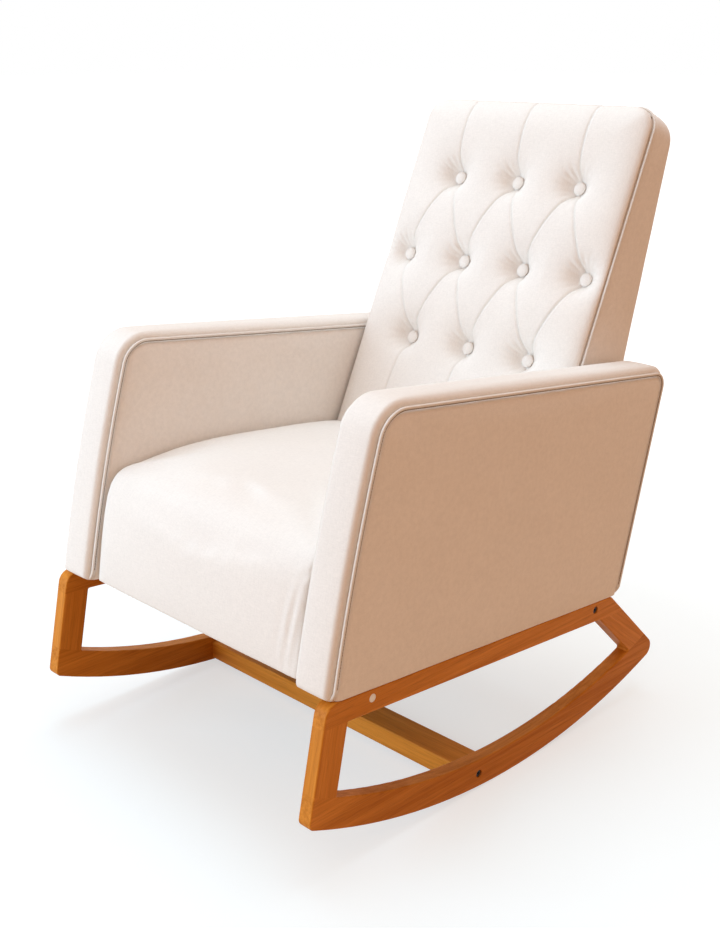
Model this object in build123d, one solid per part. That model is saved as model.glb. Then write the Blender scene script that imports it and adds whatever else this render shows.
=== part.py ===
from build123d import *
import os
from math import atan2, cos, degrees, hypot, radians, sin, sqrt, tan

# Upholstered rocking armchair with a tufted back, in millimetres.
# X runs across the chair, Y from its front to its rear and Z up from the floor.
# The side view is drawn in (Y, Z) with Y = 0 at the front end of the runners.

# Overall sizes
chair_width = 650.0
frame_length = 842.0
back_height = 1000.0
arm_height = 655.0

# Rocker frames: two boards' outlines, each joined up from a runner, two posts and a rail
frame_thick = 24.0
runner_radius = 1088.0
runner_depth = 47.0
runner_shift = 20.0
front_lean = 11.6
front_post_width = 45.0
rear_post_width = 44.0
rear_post_reach = 149.0
rail_front_height = 268.0
rail_depth = 34.5
rail_slope = 4.32
front_top_radius = 22.0
front_foot_radius = 11.0
rear_top_radius = 12.0
rear_tip_radius = 18.0
window_radius = 3.0
edge_ease = 2.0
dowel_diameter = 8.0
dowel_length = 36.0
dowel_spacing = 20.0
dowel_clearance = 0.1

# Cross members and their connector bolts
stretcher_width = 53.0
stretcher_height = 33.0
stretcher_forward = 84.5
stretcher_lift = 9.5
cross_rail_width = 24.0
cross_rail_depth = 32.0
front_bolt_y = 122.5
rear_bolt_inset = 43.0
rail_bolt_drop = 13.0
bolt_diameter = 6.0
bolt_length = 70.0
bolt_head_diameter = 11.0
bolt_head_height = 4.0
bolt_head_sink = 6.0
bolt_socket = 4.0
bolt_socket_depth = 2.8
bolt_clearance = 0.4
nut_diameter = 10.0
nut_length = 18.0
nut_from_end = 32.0
cap_diameter = 13.0
cap_thick = 1.6

# Seat frame, springs and cushion; heights here are measured square to the rails' top line
arm_width = 78.0
arm_gap = 2.0
seat_side_thick = 20.0
seat_front_rail_thick = 30.0
seat_rear_rail_thick = 22.0
seat_box_height = 75.0
seat_box_front = 84.0
seat_box_overhang = 7.0
dust_cover_thick = 1.0
corner_block_leg = 70.0
corner_block_height = 60.0
seat_bolt_inset = 22.5
spring_count = 5
spring_loops = 15
spring_wire = 3.6
spring_half_width = 22.0
spring_bend_of_pitch = 0.45
clip_width = 16.0
clip_wall = 2.0
clip_grip = 0.3
felt_thick = 4.0
seat_top = 211.0
seat_crown = 13.0
seat_front = 55.0
seat_front_lean = 7.9
seat_front_top = 168.0
seat_front_bulge = 6.0
seat_side_bulge = 1.0
seat_roll = 32.0
seat_roll_rise = 23.0
seat_roll_bow = 6.4
seat_rear_drop = 7.0
crease_gap = 5.0
soft_clearance = 0.4

# Arms
arm_front = 46.5
arm_front_lean = 14.39
arm_front_bow = 6.5
arm_slope = 5.85
arm_overhang = 20.0
arm_front_radius = 46.0
arm_rear_radius = 24.0
arm_band_thick = 14.0
arm_band_crown = 10.0
arm_band_round = 8.0
arm_outer_pad = 8.0
arm_inner_pad = 22.0
arm_upright_depth = 100.0
arm_board_depth = 40.0
arm_bolt_diameter = 8.0
arm_bolt_head = 13.0
arm_bolt_head_height = 5.5
arm_bolt_grip = 34.0
arm_bolt_rise = 24.0
arm_bolt_count = 3
arm_bolt_from_front = 87.5
arm_bolt_from_rear = 80.0
welt_diameter = 5.0

# Back
back_lean = 15.1
back_base_thick = 210.0
back_top_thick = 71.0
back_side_pad = 17.0
back_cushion_thick = 36.0
back_crown = 15.0
back_crown_along = 17.0
back_end_drop = 3.0
back_edge_drop = 1.0
cushion_foot_drop = 60.0
cut_margin = 10.0
back_corner_radius = 30.0
piping_set_back = 8.0
back_top_pad_thick = 12.0
back_outside_thick = 4.0
post_thick = 18.0
post_foot = 100.0
post_wall = 40.0
post_window_radius = 8.0
post_bolt_grip = 13.5
back_rail_thick = 19.0
back_rail_width = 45.0
webbing_width = 50.0
webbing_thick = 1.6
webbing_count = 6
post_bolt_inset = 24.0

# Buttons: rows of three and four, staggered
button_diameter = 22.0
button_height = 7.0
button_round = 4.0
button_sink = 13.0
button_pitch = 132.0
button_rows = 3
button_row_counts = (3, 4)
button_row_pitch = 151.0
button_first_row = 185.0
shank_diameter = 4.0
tuft_mouth = 36.0
tuft_rim = 20.0
pleat_half_width = 8.0
pleat_floor = 4.0

nodes = {}


def pair(name, right_hand_part):
    """Store a piece of the chair's right side and its mirror image on the left."""
    nodes["right_" + name] = right_hand_part
    nodes["left_" + name] = mirror(right_hand_part, about=Plane.YZ)


def direction(lean):
    """Unit vector of the side view, leaning back from the vertical by lean degrees."""
    return (sin(radians(lean)), cos(radians(lean)))


def beside(p, d, distance):
    """A point moved by distance to the left of direction d."""
    return (p[0] - distance * d[1], p[1] + distance * d[0])


def meet(p, d, q, e):
    """Where the line through p along d crosses the line through q along e."""
    t = ((q[0] - p[0]) * e[1] - (q[1] - p[1]) * e[0]) / (d[0] * e[1] - d[1] * e[0])
    return (p[0] + t * d[0], p[1] + t * d[1])


def middle(p, q, bow=0.0):
    """The point halfway from p to q, moved by bow to the left of that way."""
    length = hypot(q[0] - p[0], q[1] - p[1])
    d = ((q[0] - p[0]) / length, (q[1] - p[1]) / length)
    return beside(((p[0] + q[0]) / 2, (p[1] + q[1]) / 2), d, bow)


def closed(points):
    return make_face(Polyline(*points, close=True))


def round_corners(face, corners):
    """Round the corners of a flat face: pairs of a place and a radius."""
    for place, radius in corners:
        vertex = face.vertices().sort_by_distance(Vector(place[0], place[1], 0))[0]
        face = fillet(vertex, radius=radius)
    return face


def slab(face, x0, x1):
    """A side-view face as a slab between two places across the chair."""
    return extrude(Plane.YZ.offset(x0) * face, amount=x1 - x0)


def rod(start, along, length, diameter):
    """A round bar from a point, along a direction."""
    bar = Cylinder(diameter / 2, length, align=(Align.CENTER, Align.CENTER, Align.MIN))
    return Plane(origin=start, z_dir=along) * bar


def block(plane, xs, ys, zs):
    """A box between two places on each axis of a plane."""
    centre = Pos((xs[0] + xs[1]) / 2, (ys[0] + ys[1]) / 2, (zs[0] + zs[1]) / 2)
    return plane * centre * Box(xs[1] - xs[0], ys[1] - ys[0], zs[1] - zs[0])


def tube(path, diameter):
    return sweep(Plane(origin=path @ 0, z_dir=path % 0) * Circle(diameter / 2), path=path)


# Side view of a rocker frame
outer_x = chair_width / 2
frame_inner_x = outer_x - frame_thick
runner_top_radius = runner_radius - runner_depth
rail_end = frame_length - rear_post_reach
runner_middle = frame_length / 2 + runner_shift
stretcher_y = runner_middle - stretcher_forward
rear_bolt_y = rail_end - rear_bolt_inset
seat_box_rear = rail_end + seat_box_overhang
rail_way = (cos(radians(rail_slope)), -sin(radians(rail_slope)))
front_way = direction(front_lean)


def runner_height(y, radius):
    """Height of the runner's bottom or top arc at a place along the chair."""
    return runner_radius - sqrt(radius**2 - (y - runner_middle) ** 2)


def runner_top_on(p, d):
    """Where a post's edge, through p along d, comes down on the runner's top arc."""
    y, z = p[0] - runner_middle, p[1] - runner_radius
    b = y * d[0] + z * d[1]
    root = sqrt(b**2 - (y**2 + z**2 - runner_top_radius**2))
    ways = [(p[0] + t * d[0], p[1] + t * d[1]) for t in (-b - root, -b + root)]
    return min(ways, key=lambda way: way[1])


front_foot = (0.0, runner_height(0.0, runner_radius))
rail_front = ((rail_front_height - front_foot[1]) * tan(radians(front_lean)), rail_front_height)
rail_rear = meet(rail_front, rail_way, (rail_end, 0.0), (0.0, 1.0))
rear_tip = (frame_length, runner_height(frame_length, runner_radius))
rear_length = hypot(rear_tip[0] - rail_rear[0], rear_tip[1] - rail_rear[1])
rear_way = ((rear_tip[0] - rail_rear[0]) / rear_length, (rear_tip[1] - rail_rear[1]) / rear_length)

front_inner = beside(front_foot, front_way, -front_post_width)
rear_inner = beside(rail_rear, rear_way, -rear_post_width)
rail_under = beside(rail_front, rail_way, -rail_depth)
window_corners = [
    runner_top_on(front_inner, front_way),
    meet(front_inner, front_way, rail_under, rail_way),
    meet(rear_inner, rear_way, rail_under, rail_way),
    runner_top_on(rear_inner, rear_way),
]

outline = make_face(
    Polyline(front_foot, rail_front, rail_rear, rear_tip)
    + ThreePointArc(rear_tip, (runner_middle, 0.0), front_foot)
)
outline = round_corners(
    outline,
    [
        (front_foot, front_foot_radius),
        (rail_front, front_top_radius),
        (rail_rear, rear_top_radius),
        (rear_tip, rear_tip_radius),
    ],
)
window = make_face(
    Polyline(*window_corners)
    + ThreePointArc(window_corners[3], (runner_middle, runner_depth), window_corners[0])
)
window = round_corners(window, [(corner, window_radius) for corner in window_corners])
frame_board = slab(outline - window, frame_inner_x, outer_x)
frame_board = fillet(frame_board.faces().filter_by(Axis.X).edges(), radius=edge_ease)

# The posts stand on the runner's top arc and the rail lies across their tops
above_runner = slab(Pos(runner_middle, runner_radius) * Circle(runner_top_radius), frame_inner_x, outer_x)
rail_plane = Plane(origin=(0, *rail_under), x_dir=(1, 0, 0), z_dir=(0, -rail_way[1], rail_way[0]))
runner = frame_board - above_runner
upper = frame_board & above_runner
rail = split(upper, bisect_by=rail_plane, keep=Keep.TOP)
posts = split(upper, bisect_by=rail_plane, keep=Keep.BOTTOM).solids().sort_by(Axis.Y)
front_post, rear_post = posts[0], posts[-1]

# Two dowels through each joint, along its post
frame_mid_x = outer_x - frame_thick / 2
front_mid = beside(front_foot, front_way, -front_post_width / 2)
rear_mid = beside(rail_rear, rear_way, -rear_post_width / 2)
dowels, dowel_holes = [], []
for mid, way in ((front_mid, front_way), (rear_mid, rear_way)):
    for joint in (runner_top_on(mid, way), meet(mid, way, rail_under, rail_way)):
        for offset in (-dowel_spacing / 2, dowel_spacing / 2):
            start = beside(joint, way, offset)
            start = (start[0] - way[0] * dowel_length / 2, start[1] - way[1] * dowel_length / 2)
            place = (frame_mid_x, *start)
            dowels.append(rod(place, (0, *way), dowel_length, dowel_diameter))
            hole = dowel_diameter + 2 * dowel_clearance
            dowel_holes.append(rod(place, (0, *way), dowel_length, hole))

# The rails' top line carries the seat: deck coordinates run along it and square to it
deck_start = meet(rail_front, rail_way, (0.0, 0.0), (0.0, 1.0))
deck = Plane(origin=(0, *deck_start), x_dir=(1, 0, 0), z_dir=(0, -rail_way[1], rail_way[0]))


def deck_point(x, y, z):
    return deck.from_local_coords(Vector(x, y, z))


# Connector bolts through the rails and runners into the cross members
stretcher_z = stretcher_lift + stretcher_height / 2
bolt_places = {
    "front": deck_point(outer_x, front_bolt_y, -rail_bolt_drop),
    "rear": deck_point(outer_x, rear_bolt_y, -rail_bolt_drop),
    "stretcher": Vector(outer_x, stretcher_y, stretcher_z),
}
inwards = Vector(-1, 0, 0)
bolt_holes = []
bolts = {}
nuts = []
for name, place in bolt_places.items():
    seat_place = place + inwards * bolt_head_sink
    head_place = seat_place - inwards * bolt_head_height
    bolt_holes.append(rod(place, inwards, bolt_head_sink, cap_diameter))
    bolt_holes.append(rod(seat_place, inwards, bolt_length, bolt_diameter + bolt_clearance))
    bolt = rod(head_place, inwards, bolt_head_height, bolt_head_diameter)
    bolt += rod(seat_place, inwards, bolt_length, bolt_diameter)
    socket = RegularPolygon(bolt_socket / 2, 6, major_radius=False)
    bolt -= extrude(Plane(origin=head_place, z_dir=inwards) * socket, amount=bolt_socket_depth)
    bolts[name] = bolt
    nut_axis = Vector(0, 1, 0) if name == "stretcher" else deck.z_dir
    nut_place = place + inwards * (frame_thick + nut_from_end) - nut_axis * (nut_length / 2)
    nut = rod(nut_place, nut_axis, nut_length, nut_diameter)
    nuts.append(nut - rod(seat_place, inwards, bolt_length, bolt_diameter + bolt_clearance))
    bolt_holes.append(rod(nut_place, nut_axis, nut_length, nut_diameter + bolt_clearance))

for name, piece in (
    ("runner", runner),
    ("front_post", front_post),
    ("rear_post", rear_post),
    ("top_rail", rail),
):
    pair(name, piece - dowel_holes - bolt_holes)


def both_sides(parts):
    return Compound(children=[*parts, *[mirror(part, about=Plane.YZ) for part in parts]])


nodes["frame_dowels"] = both_sides(dowels)
nodes["rail_bolts"] = both_sides([bolts["front"], bolts["rear"]])
nodes["stretcher_bolts"] = both_sides([bolts["stretcher"]])
nodes["barrel_nuts"] = both_sides(nuts)
cap_place = bolt_places["front"] + inwards * (bolt_head_sink - bolt_head_height)
cap = rod(cap_place, -inwards, cap_thick, cap_diameter - bolt_clearance)
nodes["bolt_caps"] = both_sides([cap])

left_holes = [mirror(hole, about=Plane.YZ) for hole in bolt_holes]
inner_span = (-frame_inner_x, frame_inner_x)
stretcher = block(
    Plane.XY,
    inner_span,
    (stretcher_y - stretcher_width / 2, stretcher_y + stretcher_width / 2),
    (stretcher_lift, stretcher_lift + stretcher_height),
)
nodes["stretcher"] = fillet(stretcher.edges().filter_by(Axis.X), edge_ease) - bolt_holes - left_holes

# The seat frame is screwed down through the two cross rails
seat_outer_x = outer_x - arm_width - arm_gap
side_inner_x = seat_outer_x - seat_side_thick
post_inner_x = side_inner_x - post_thick
seat_bolts, seat_bolt_holes = [], []
seat_bolt_reach = cross_rail_depth - bolt_head_sink + dust_cover_thick + corner_block_height / 2
for y, x in ((front_bolt_y, side_inner_x), (rear_bolt_y, post_inner_x)):
    foot = deck_point(x - seat_bolt_inset, y, -cross_rail_depth)
    seat_place = foot + deck.z_dir * bolt_head_sink
    seat_bolt_holes.append(rod(foot, deck.z_dir, bolt_head_sink, cap_diameter))
    seat_bolt_holes.append(rod(seat_place, deck.z_dir, seat_bolt_reach, bolt_diameter + bolt_clearance))
    head = rod(seat_place - deck.z_dir * bolt_head_height, deck.z_dir, bolt_head_height, bolt_head_diameter)
    seat_bolts.append(head + rod(seat_place, deck.z_dir, seat_bolt_reach, bolt_diameter))
seat_bolt_holes += [mirror(hole, about=Plane.YZ) for hole in seat_bolt_holes]
nodes["seat_bolts"] = both_sides(seat_bolts)

for name, y in (("front_cross_rail", front_bolt_y), ("rear_cross_rail", rear_bolt_y)):
    ys = (y - cross_rail_width / 2, y + cross_rail_width / 2)
    cross_rail = block(deck, inner_span, ys, (-cross_rail_depth, 0.0))
    nodes[name] = cross_rail - bolt_holes - left_holes - seat_bolt_holes

# Back planes: the rear one continues the arms' rear edge, the front one leans further back
rear_foot = (rail_end + arm_overhang, rail_rear[1])
back_way = direction(back_lean)
back_rear_top = meet(rear_foot, back_way, (0.0, back_height), (1.0, 0.0))
back_front_top = (back_rear_top[0] - back_top_thick, back_height)
back_front_base = (rear_foot[0] - back_base_thick, rear_foot[1])
front_plane_lean = degrees(
    atan2(back_front_top[0] - back_front_base[0], back_front_top[1] - back_front_base[1])
)
front_plane_way = direction(front_plane_lean)
seat_rear_height = seat_top - seat_rear_drop
seat_line = beside(deck_start, rail_way, seat_rear_height)
crease = meet(back_front_base, front_plane_way, seat_line, rail_way)
back = Plane(
    origin=(0, *crease),
    x_dir=(1, 0, 0),
    z_dir=(0, -front_plane_way[1], front_plane_way[0]),
)
back_top_y = hypot(back_front_top[0] - crease[0], back_front_top[1] - crease[1])
square_way = (front_plane_way[1], -front_plane_way[0])


def in_deck(p):
    """A side-view point in deck coordinates, along the rails and square to them."""
    place = deck.to_local_coords(Vector(0, *p))
    return (place.Y, place.Z)


# Seat frame of front, rear and side rails with corner blocks
box_bottom = dust_cover_thick
box_zs = (box_bottom, seat_box_height)
rear_rail_ys = (rear_bolt_y - seat_rear_rail_thick / 2, rear_bolt_y + seat_rear_rail_thick / 2)
front_rail_ys = (seat_box_front, seat_box_front + seat_front_rail_thick)
front_rail = block(deck, (-side_inner_x, side_inner_x), front_rail_ys, box_zs)
rear_rail = block(deck, (-post_inner_x, post_inner_x), rear_rail_ys, box_zs)
block_height = (box_bottom, box_bottom + corner_block_height)


def corner_block(x, y, y_way):
    """A three-cornered block in the corner at (x, y) of the seat frame."""
    triangle = closed([(x, y), (x - corner_block_leg, y), (x, y + y_way * corner_block_leg)])
    return extrude(deck.offset(block_height[0]) * triangle, amount=corner_block_height)


corner_blocks = [
    corner_block(side_inner_x, front_rail_ys[1], 1) - seat_bolt_holes,
    corner_block(post_inner_x, rear_rail_ys[0], -1) - seat_bolt_holes,
]
nodes["seat_front_rail"] = front_rail
nodes["seat_rear_rail"] = rear_rail - seat_bolt_holes
nodes["seat_corner_blocks"] = both_sides(corner_blocks)
cover_ys = (seat_box_front, rear_rail_ys[1])
dust_cover = block(deck, (-side_inner_x, side_inner_x), cover_ys, (0.0, dust_cover_thick))
nodes["dust_cover"] = dust_cover - seat_bolt_holes

# Bolts from inside the seat frame into the arms, and from its outside into the back posts
arm_inner_x = outer_x - arm_width
arm_board_x = (arm_inner_x + arm_inner_pad, outer_x - arm_outer_pad)
arm_bolts, arm_bolt_holes = [], []
across = Vector(1, 0, 0)
arm_bolt_reach = arm_board_x[0] - side_inner_x + arm_bolt_grip
first_arm_bolt = front_bolt_y + arm_bolt_from_front
arm_bolt_pitch = (rear_bolt_y - arm_bolt_from_rear - first_arm_bolt) / (arm_bolt_count - 1)
for k in range(arm_bolt_count):
    y = first_arm_bolt + k * arm_bolt_pitch
    place = deck_point(side_inner_x, y, arm_bolt_rise)
    head = rod(place, -across, arm_bolt_head_height, arm_bolt_head)
    arm_bolts.append(head + rod(place, across, arm_bolt_reach, arm_bolt_diameter))
    arm_bolt_holes.append(rod(place, across, arm_bolt_reach, arm_bolt_diameter + bolt_clearance))
nodes["arm_bolts"] = both_sides(arm_bolts)

post_bolts, post_bolt_holes = [], []
post_bolt_reach = seat_side_thick - bolt_head_sink + post_bolt_grip
low_bolt = (2 * post_bolt_inset, post_bolt_inset)
high_bolt = (post_bolt_inset, seat_box_height - post_bolt_inset)
for y_inset, z in (low_bolt, high_bolt):
    place = deck_point(seat_outer_x, seat_box_rear - y_inset, z)
    seat_place = place + inwards * bolt_head_sink
    head = rod(seat_place, -inwards, bolt_head_height, bolt_head_diameter)
    post_bolts.append(head + rod(seat_place, inwards, post_bolt_reach, bolt_diameter))
    post_bolt_holes.append(rod(place, inwards, bolt_head_sink, cap_diameter))
    post_bolt_holes.append(rod(seat_place, inwards, post_bolt_reach, bolt_diameter + bolt_clearance))
nodes["post_bolts"] = both_sides(post_bolts)

side_rail = block(deck, (side_inner_x, seat_outer_x), (seat_box_front, seat_box_rear), box_zs)
pair("seat_side_rail", side_rail - arm_bolt_holes - post_bolt_holes)

# Zigzag springs from the front rail to the rear rail, each end held in a clip
spring_ends = (sum(front_rail_ys) / 2, rear_bolt_y)
spring_pitch = (spring_ends[1] - spring_ends[0]) / spring_loops
wire_z = seat_box_height + spring_wire / 2
springs, clips = [], []
spring_span = post_inner_x - spring_half_width - clip_width
for k in range(spring_count):
    x = spring_span * (2 * k / (spring_count - 1) - 1)
    places = []
    for turn in range(spring_loops + 1):
        side = spring_half_width if turn % 2 else -spring_half_width
        y = spring_ends[0] + turn * spring_pitch
        places += [(x + side, y), (x - side, y)]
    path = deck.offset(wire_z) * FilletPolyline(*places, radius=spring_pitch * spring_bend_of_pitch)
    springs.append(tube(path, spring_wire))
    for y in spring_ends:
        half = spring_wire / 2 + clip_grip + clip_wall
        xs = (x - clip_width / 2, x + clip_width / 2)
        top = seat_box_height + spring_wire + clip_grip
        clip = block(deck, xs, (y - half, y + half), (seat_box_height, top + clip_wall))
        slot = (y - half + clip_wall, y + half - clip_wall)
        clips.append(clip - block(deck, xs, slot, (seat_box_height, top)))
nodes["seat_springs"] = Compound(children=springs)
nodes["spring_clips"] = Compound(children=clips)

felt_bottom = seat_box_height + spring_wire + clip_grip + clip_wall
felt_zs = (felt_bottom, felt_bottom + felt_thick)
nodes["spring_pad"] = block(deck, (-post_inner_x, post_inner_x), cover_ys, felt_zs)

# Seat cushion: foam over the springs with an apron down the front, crowned across and along
foam_bottom = felt_bottom + felt_thick + soft_clearance
seat_rear_top = in_deck(beside(crease, front_plane_way, crease_gap))
seat_rear_low = in_deck(
    meet(beside(crease, front_plane_way, crease_gap), front_plane_way, deck_start, rail_way)
)


def seat_section(x, crown, bulge):
    """The cushion's side view at one place across the seat."""
    top = seat_rear_height + crown / 2
    slant = (seat_rear_low[0] - seat_rear_top[0]) / (seat_rear_low[1] - seat_rear_top[1])
    front_bottom = (seat_front, box_bottom)
    front_top = (seat_front + seat_front_top * tan(radians(seat_front_lean)), seat_front_top)
    roll_end = (front_top[0] + seat_roll, front_top[1] + seat_roll_rise + crown / 2)
    roll_mid = middle(front_top, roll_end, seat_roll_bow)
    rear_top = (seat_rear_top[0] + (top - seat_rear_top[1]) * slant, top)
    rear_bottom = (seat_rear_top[0] + (foam_bottom - seat_rear_top[1]) * slant, foam_bottom)
    apron_rear = seat_box_front - soft_clearance
    top_mid = ((roll_end[0] + rear_top[0]) / 2, seat_top + crown)
    edges = (
        ThreePointArc(front_bottom, middle(front_bottom, front_top, bulge), front_top)
        + ThreePointArc(front_top, roll_mid, roll_end)
        + ThreePointArc(roll_end, top_mid, rear_top)
        + Polyline(rear_top, rear_bottom, (apron_rear, foam_bottom), (apron_rear, box_bottom), front_bottom)
    )
    side_plane = Plane(origin=deck_point(x, 0, 0), x_dir=deck.y_dir, z_dir=(1, 0, 0))
    return side_plane * make_face(edges)


seat_cushion = loft(
    [
        seat_section(-seat_outer_x, 0.0, seat_side_bulge),
        seat_section(0.0, seat_crown, seat_front_bulge),
        seat_section(seat_outer_x, 0.0, seat_side_bulge),
    ]
)
nodes["seat_cushion"] = seat_cushion

# Arms: a wooden frame between an inner and an outer pad, with a padded band round its edge
arm_foot = meet((arm_front, 0.0), (0.0, 1.0), rail_front, rail_way)
arm_front_way = direction(arm_front_lean)
arm_top_way = (cos(radians(arm_slope)), -sin(radians(arm_slope)))
arm_corner = meet(arm_foot, arm_front_way, (0.0, arm_height), (1.0, 0.0))


def arm_face(inset, rise=0.0, front_extra=0.0):
    """The arm's side view, drawn in from its front, top and rear edges and up from the rail."""
    front = beside(arm_foot, arm_front_way, -inset - front_extra)
    top = beside(arm_corner, arm_top_way, -inset)
    rear = beside(rear_foot, back_way, inset)
    base = beside(rail_front, rail_way, rise)
    corners = [
        meet(front, arm_front_way, base, rail_way),
        meet(front, arm_front_way, top, arm_top_way),
        meet(rear, back_way, top, arm_top_way),
        meet(rear, back_way, base, rail_way),
    ]
    bowed = ThreePointArc(corners[0], middle(corners[0], corners[1], arm_front_bow), corners[1])
    face = make_face(bowed + Polyline(*corners[1:], corners[0]))
    radii = ((corners[1], arm_front_radius - inset), (corners[2], arm_rear_radius - inset))
    return round_corners(face, [(corner, radius) for corner, radius in radii if radius > 0])


def welt_path(x, inset):
    """The line of an arm's welt: up the front, along the top and down the rear edge."""
    edges = arm_face(inset).edges()
    bottom = edges.sort_by(Axis.Y)[0]
    return Plane.YZ.offset(x) * Wire([edge for edge in edges if edge != bottom])


welt_inset = welt_diameter / 2
welt_seat = welt_diameter + soft_clearance
welts = []
for x in (arm_inner_x + welt_inset, outer_x - welt_inset):
    welts.append(tube(welt_path(x, welt_inset), welt_diameter))
pair("arm_welts", Compound(children=welts))

# Each pad is stepped in round its outer edge, where the welt lies
arm_outline = arm_face(0.0)
stepped_outline = arm_face(welt_seat)
boards_outline = arm_face(arm_band_thick + soft_clearance)
outer_pad = slab(arm_outline, arm_board_x[1], outer_x - welt_seat)
pair("arm_outer_pad", outer_pad + slab(stepped_outline, outer_x - welt_seat, outer_x))
inner_pad = slab(arm_outline, arm_inner_x + welt_seat, arm_board_x[0])
inner_pad += slab(stepped_outline, arm_inner_x, arm_inner_x + welt_seat)
pair("arm_inner_pad", inner_pad - arm_bolt_holes)

# The band stands proud of the welts, with rounded edges
crowned_arm = slab(arm_face(-arm_band_crown), *arm_board_x)
side_edges = [edge for edge in crowned_arm.edges() if edge.bounding_box().size.X < soft_clearance]
side_edges.sort(key=lambda edge: edge.center().Z)
crowned_arm = fillet(side_edges[2:], arm_band_round)
pair("arm_band", crowned_arm - slab(arm_face(arm_band_thick), *arm_board_x))

upright_extra = arm_upright_depth - arm_board_depth
arm_hole = arm_face(arm_band_thick + arm_board_depth, arm_board_depth, upright_extra)
arm_ring = slab(boards_outline - arm_hole, *arm_board_x)
top_under = beside(arm_corner, arm_top_way, -arm_band_thick - arm_board_depth)
top_cut = Plane(origin=(0, *top_under), x_dir=(1, 0, 0), z_dir=(0, -arm_top_way[1], arm_top_way[0]))
arm_lower = split(arm_ring, bisect_by=top_cut, keep=Keep.BOTTOM)
pair("arm_top_board", split(arm_ring, bisect_by=top_cut, keep=Keep.TOP))
base_cut = deck.offset(arm_board_depth)
pair("arm_bottom_board", split(arm_lower, bisect_by=base_cut, keep=Keep.BOTTOM) - arm_bolt_holes)
uprights = split(arm_lower, bisect_by=base_cut, keep=Keep.TOP).solids().sort_by(Axis.Y)
pair("arm_front_upright", uprights[0])
pair("arm_rear_upright", uprights[-1])

# Back frame: two posts bolted inside the seat frame, three rails and webbing across the front
webbing_z = back_cushion_thick + soft_clearance + webbing_thick
post_front = beside(crease, front_plane_way, -webbing_z)
post_rear = beside(rear_foot, back_way, back_outside_thick)
post_top = beside(back_front_top, square_way, -back_top_pad_thick)
post_base = beside(deck_start, rail_way, box_bottom)
rear_low = meet(post_rear, back_way, post_base, rail_way)
front_low = (rear_low[0] - post_foot * rail_way[0], rear_low[1] - post_foot * rail_way[1])
shoulder = beside(deck_start, rail_way, seat_box_height + soft_clearance)
back_post = closed(
    [
        rear_low,
        meet(post_rear, back_way, post_top, square_way),
        meet(post_front, front_plane_way, post_top, square_way),
        meet(post_front, front_plane_way, shoulder, rail_way),
        meet(front_low, back_way, shoulder, rail_way),
        front_low,
    ]
)
window_rear = beside(post_rear, back_way, post_wall)
window_front = beside(post_front, front_plane_way, -post_wall)
window_base = beside(shoulder, rail_way, post_wall)
post_window_corners = [
    meet(window_rear, back_way, window_base, rail_way),
    meet(window_rear, back_way, window_front, front_plane_way),
    meet(window_front, front_plane_way, window_base, rail_way),
]
post_window = round_corners(
    closed(post_window_corners), [(corner, post_window_radius) for corner in post_window_corners]
)
back_post -= post_window
pair("back_post", slab(back_post, post_inner_x, side_inner_x) - post_bolt_holes)

rail_zs = (-webbing_z - back_rail_thick, -webbing_z)
rail_top_y = back_top_y - back_top_pad_thick
back_rail_ys = {
    "back_top_rail": rail_top_y - back_rail_width,
    "back_middle_rail": (rail_top_y - back_rail_width) / 2,
    "back_bottom_rail": 0.0,
}
for name, y in back_rail_ys.items():
    nodes[name] = block(back, (-post_inner_x, post_inner_x), (y, y + back_rail_width), rail_zs)

strap_pitch = (rail_top_y - webbing_width) / (webbing_count - 1)
straps = []
for k in range(webbing_count):
    ys = (k * strap_pitch, k * strap_pitch + webbing_width)
    straps.append(block(back, (-side_inner_x, side_inner_x), ys, (-webbing_z, webbing_thick - webbing_z)))
nodes["back_webbing"] = Compound(children=straps)

# Back pads: sides, top and the outside back, all within the back's side view
back_half = side_inner_x + back_side_pad
cushion_back = beside(crease, front_plane_way, -back_cushion_thick - soft_clearance)
outside_front = beside(rear_foot, back_way, back_outside_thick)
side_low = beside(deck_start, rail_way, seat_box_height + soft_clearance)
front_view = closed(
    [(-back_half, -back_height), (back_half, -back_height), (back_half, back_top_y), (-back_half, back_top_y)]
)
front_view = round_corners(
    front_view, [((x, back_top_y), back_corner_radius) for x in (-back_half, back_half)]
)
back_shape = extrude(back * front_view, amount=-frame_length)
side_pad = closed(
    [
        meet(cushion_back, front_plane_way, side_low, rail_way),
        meet(cushion_back, front_plane_way, back_front_top, square_way),
        meet(outside_front, back_way, back_front_top, square_way),
        meet(outside_front, back_way, side_low, rail_way),
    ]
)
pair("back_side_pad", slab(side_pad, side_inner_x, back_half) & back_shape)
top_pad = closed(
    [
        meet(cushion_back, front_plane_way, post_top, square_way),
        meet(cushion_back, front_plane_way, back_front_top, square_way),
        meet(outside_front, back_way, back_front_top, square_way),
        meet(outside_front, back_way, post_top, square_way),
    ]
)
nodes["back_top_pad"] = slab(top_pad, -side_inner_x, side_inner_x)
outside = closed(
    [
        meet(rear_foot, back_way, post_base, rail_way),
        meet(rear_foot, back_way, back_front_top, square_way),
        meet(outside_front, back_way, back_front_top, square_way),
        meet(outside_front, back_way, post_base, rail_way),
    ]
)
nodes["outside_back"] = slab(outside, -back_half, back_half) & back_shape

# Piping round the front edge of the back
piping_half = back_half - welt_inset
piping_line = FilletPolyline(
    (piping_half, 0.0),
    (piping_half, back_top_y - welt_inset),
    (-piping_half, back_top_y - welt_inset),
    (-piping_half, 0.0),
    radius=back_corner_radius - welt_inset,
)
piping_path = back.offset(-piping_set_back - welt_inset) * piping_line
nodes["back_piping"] = tube(piping_path, welt_diameter)

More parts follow.
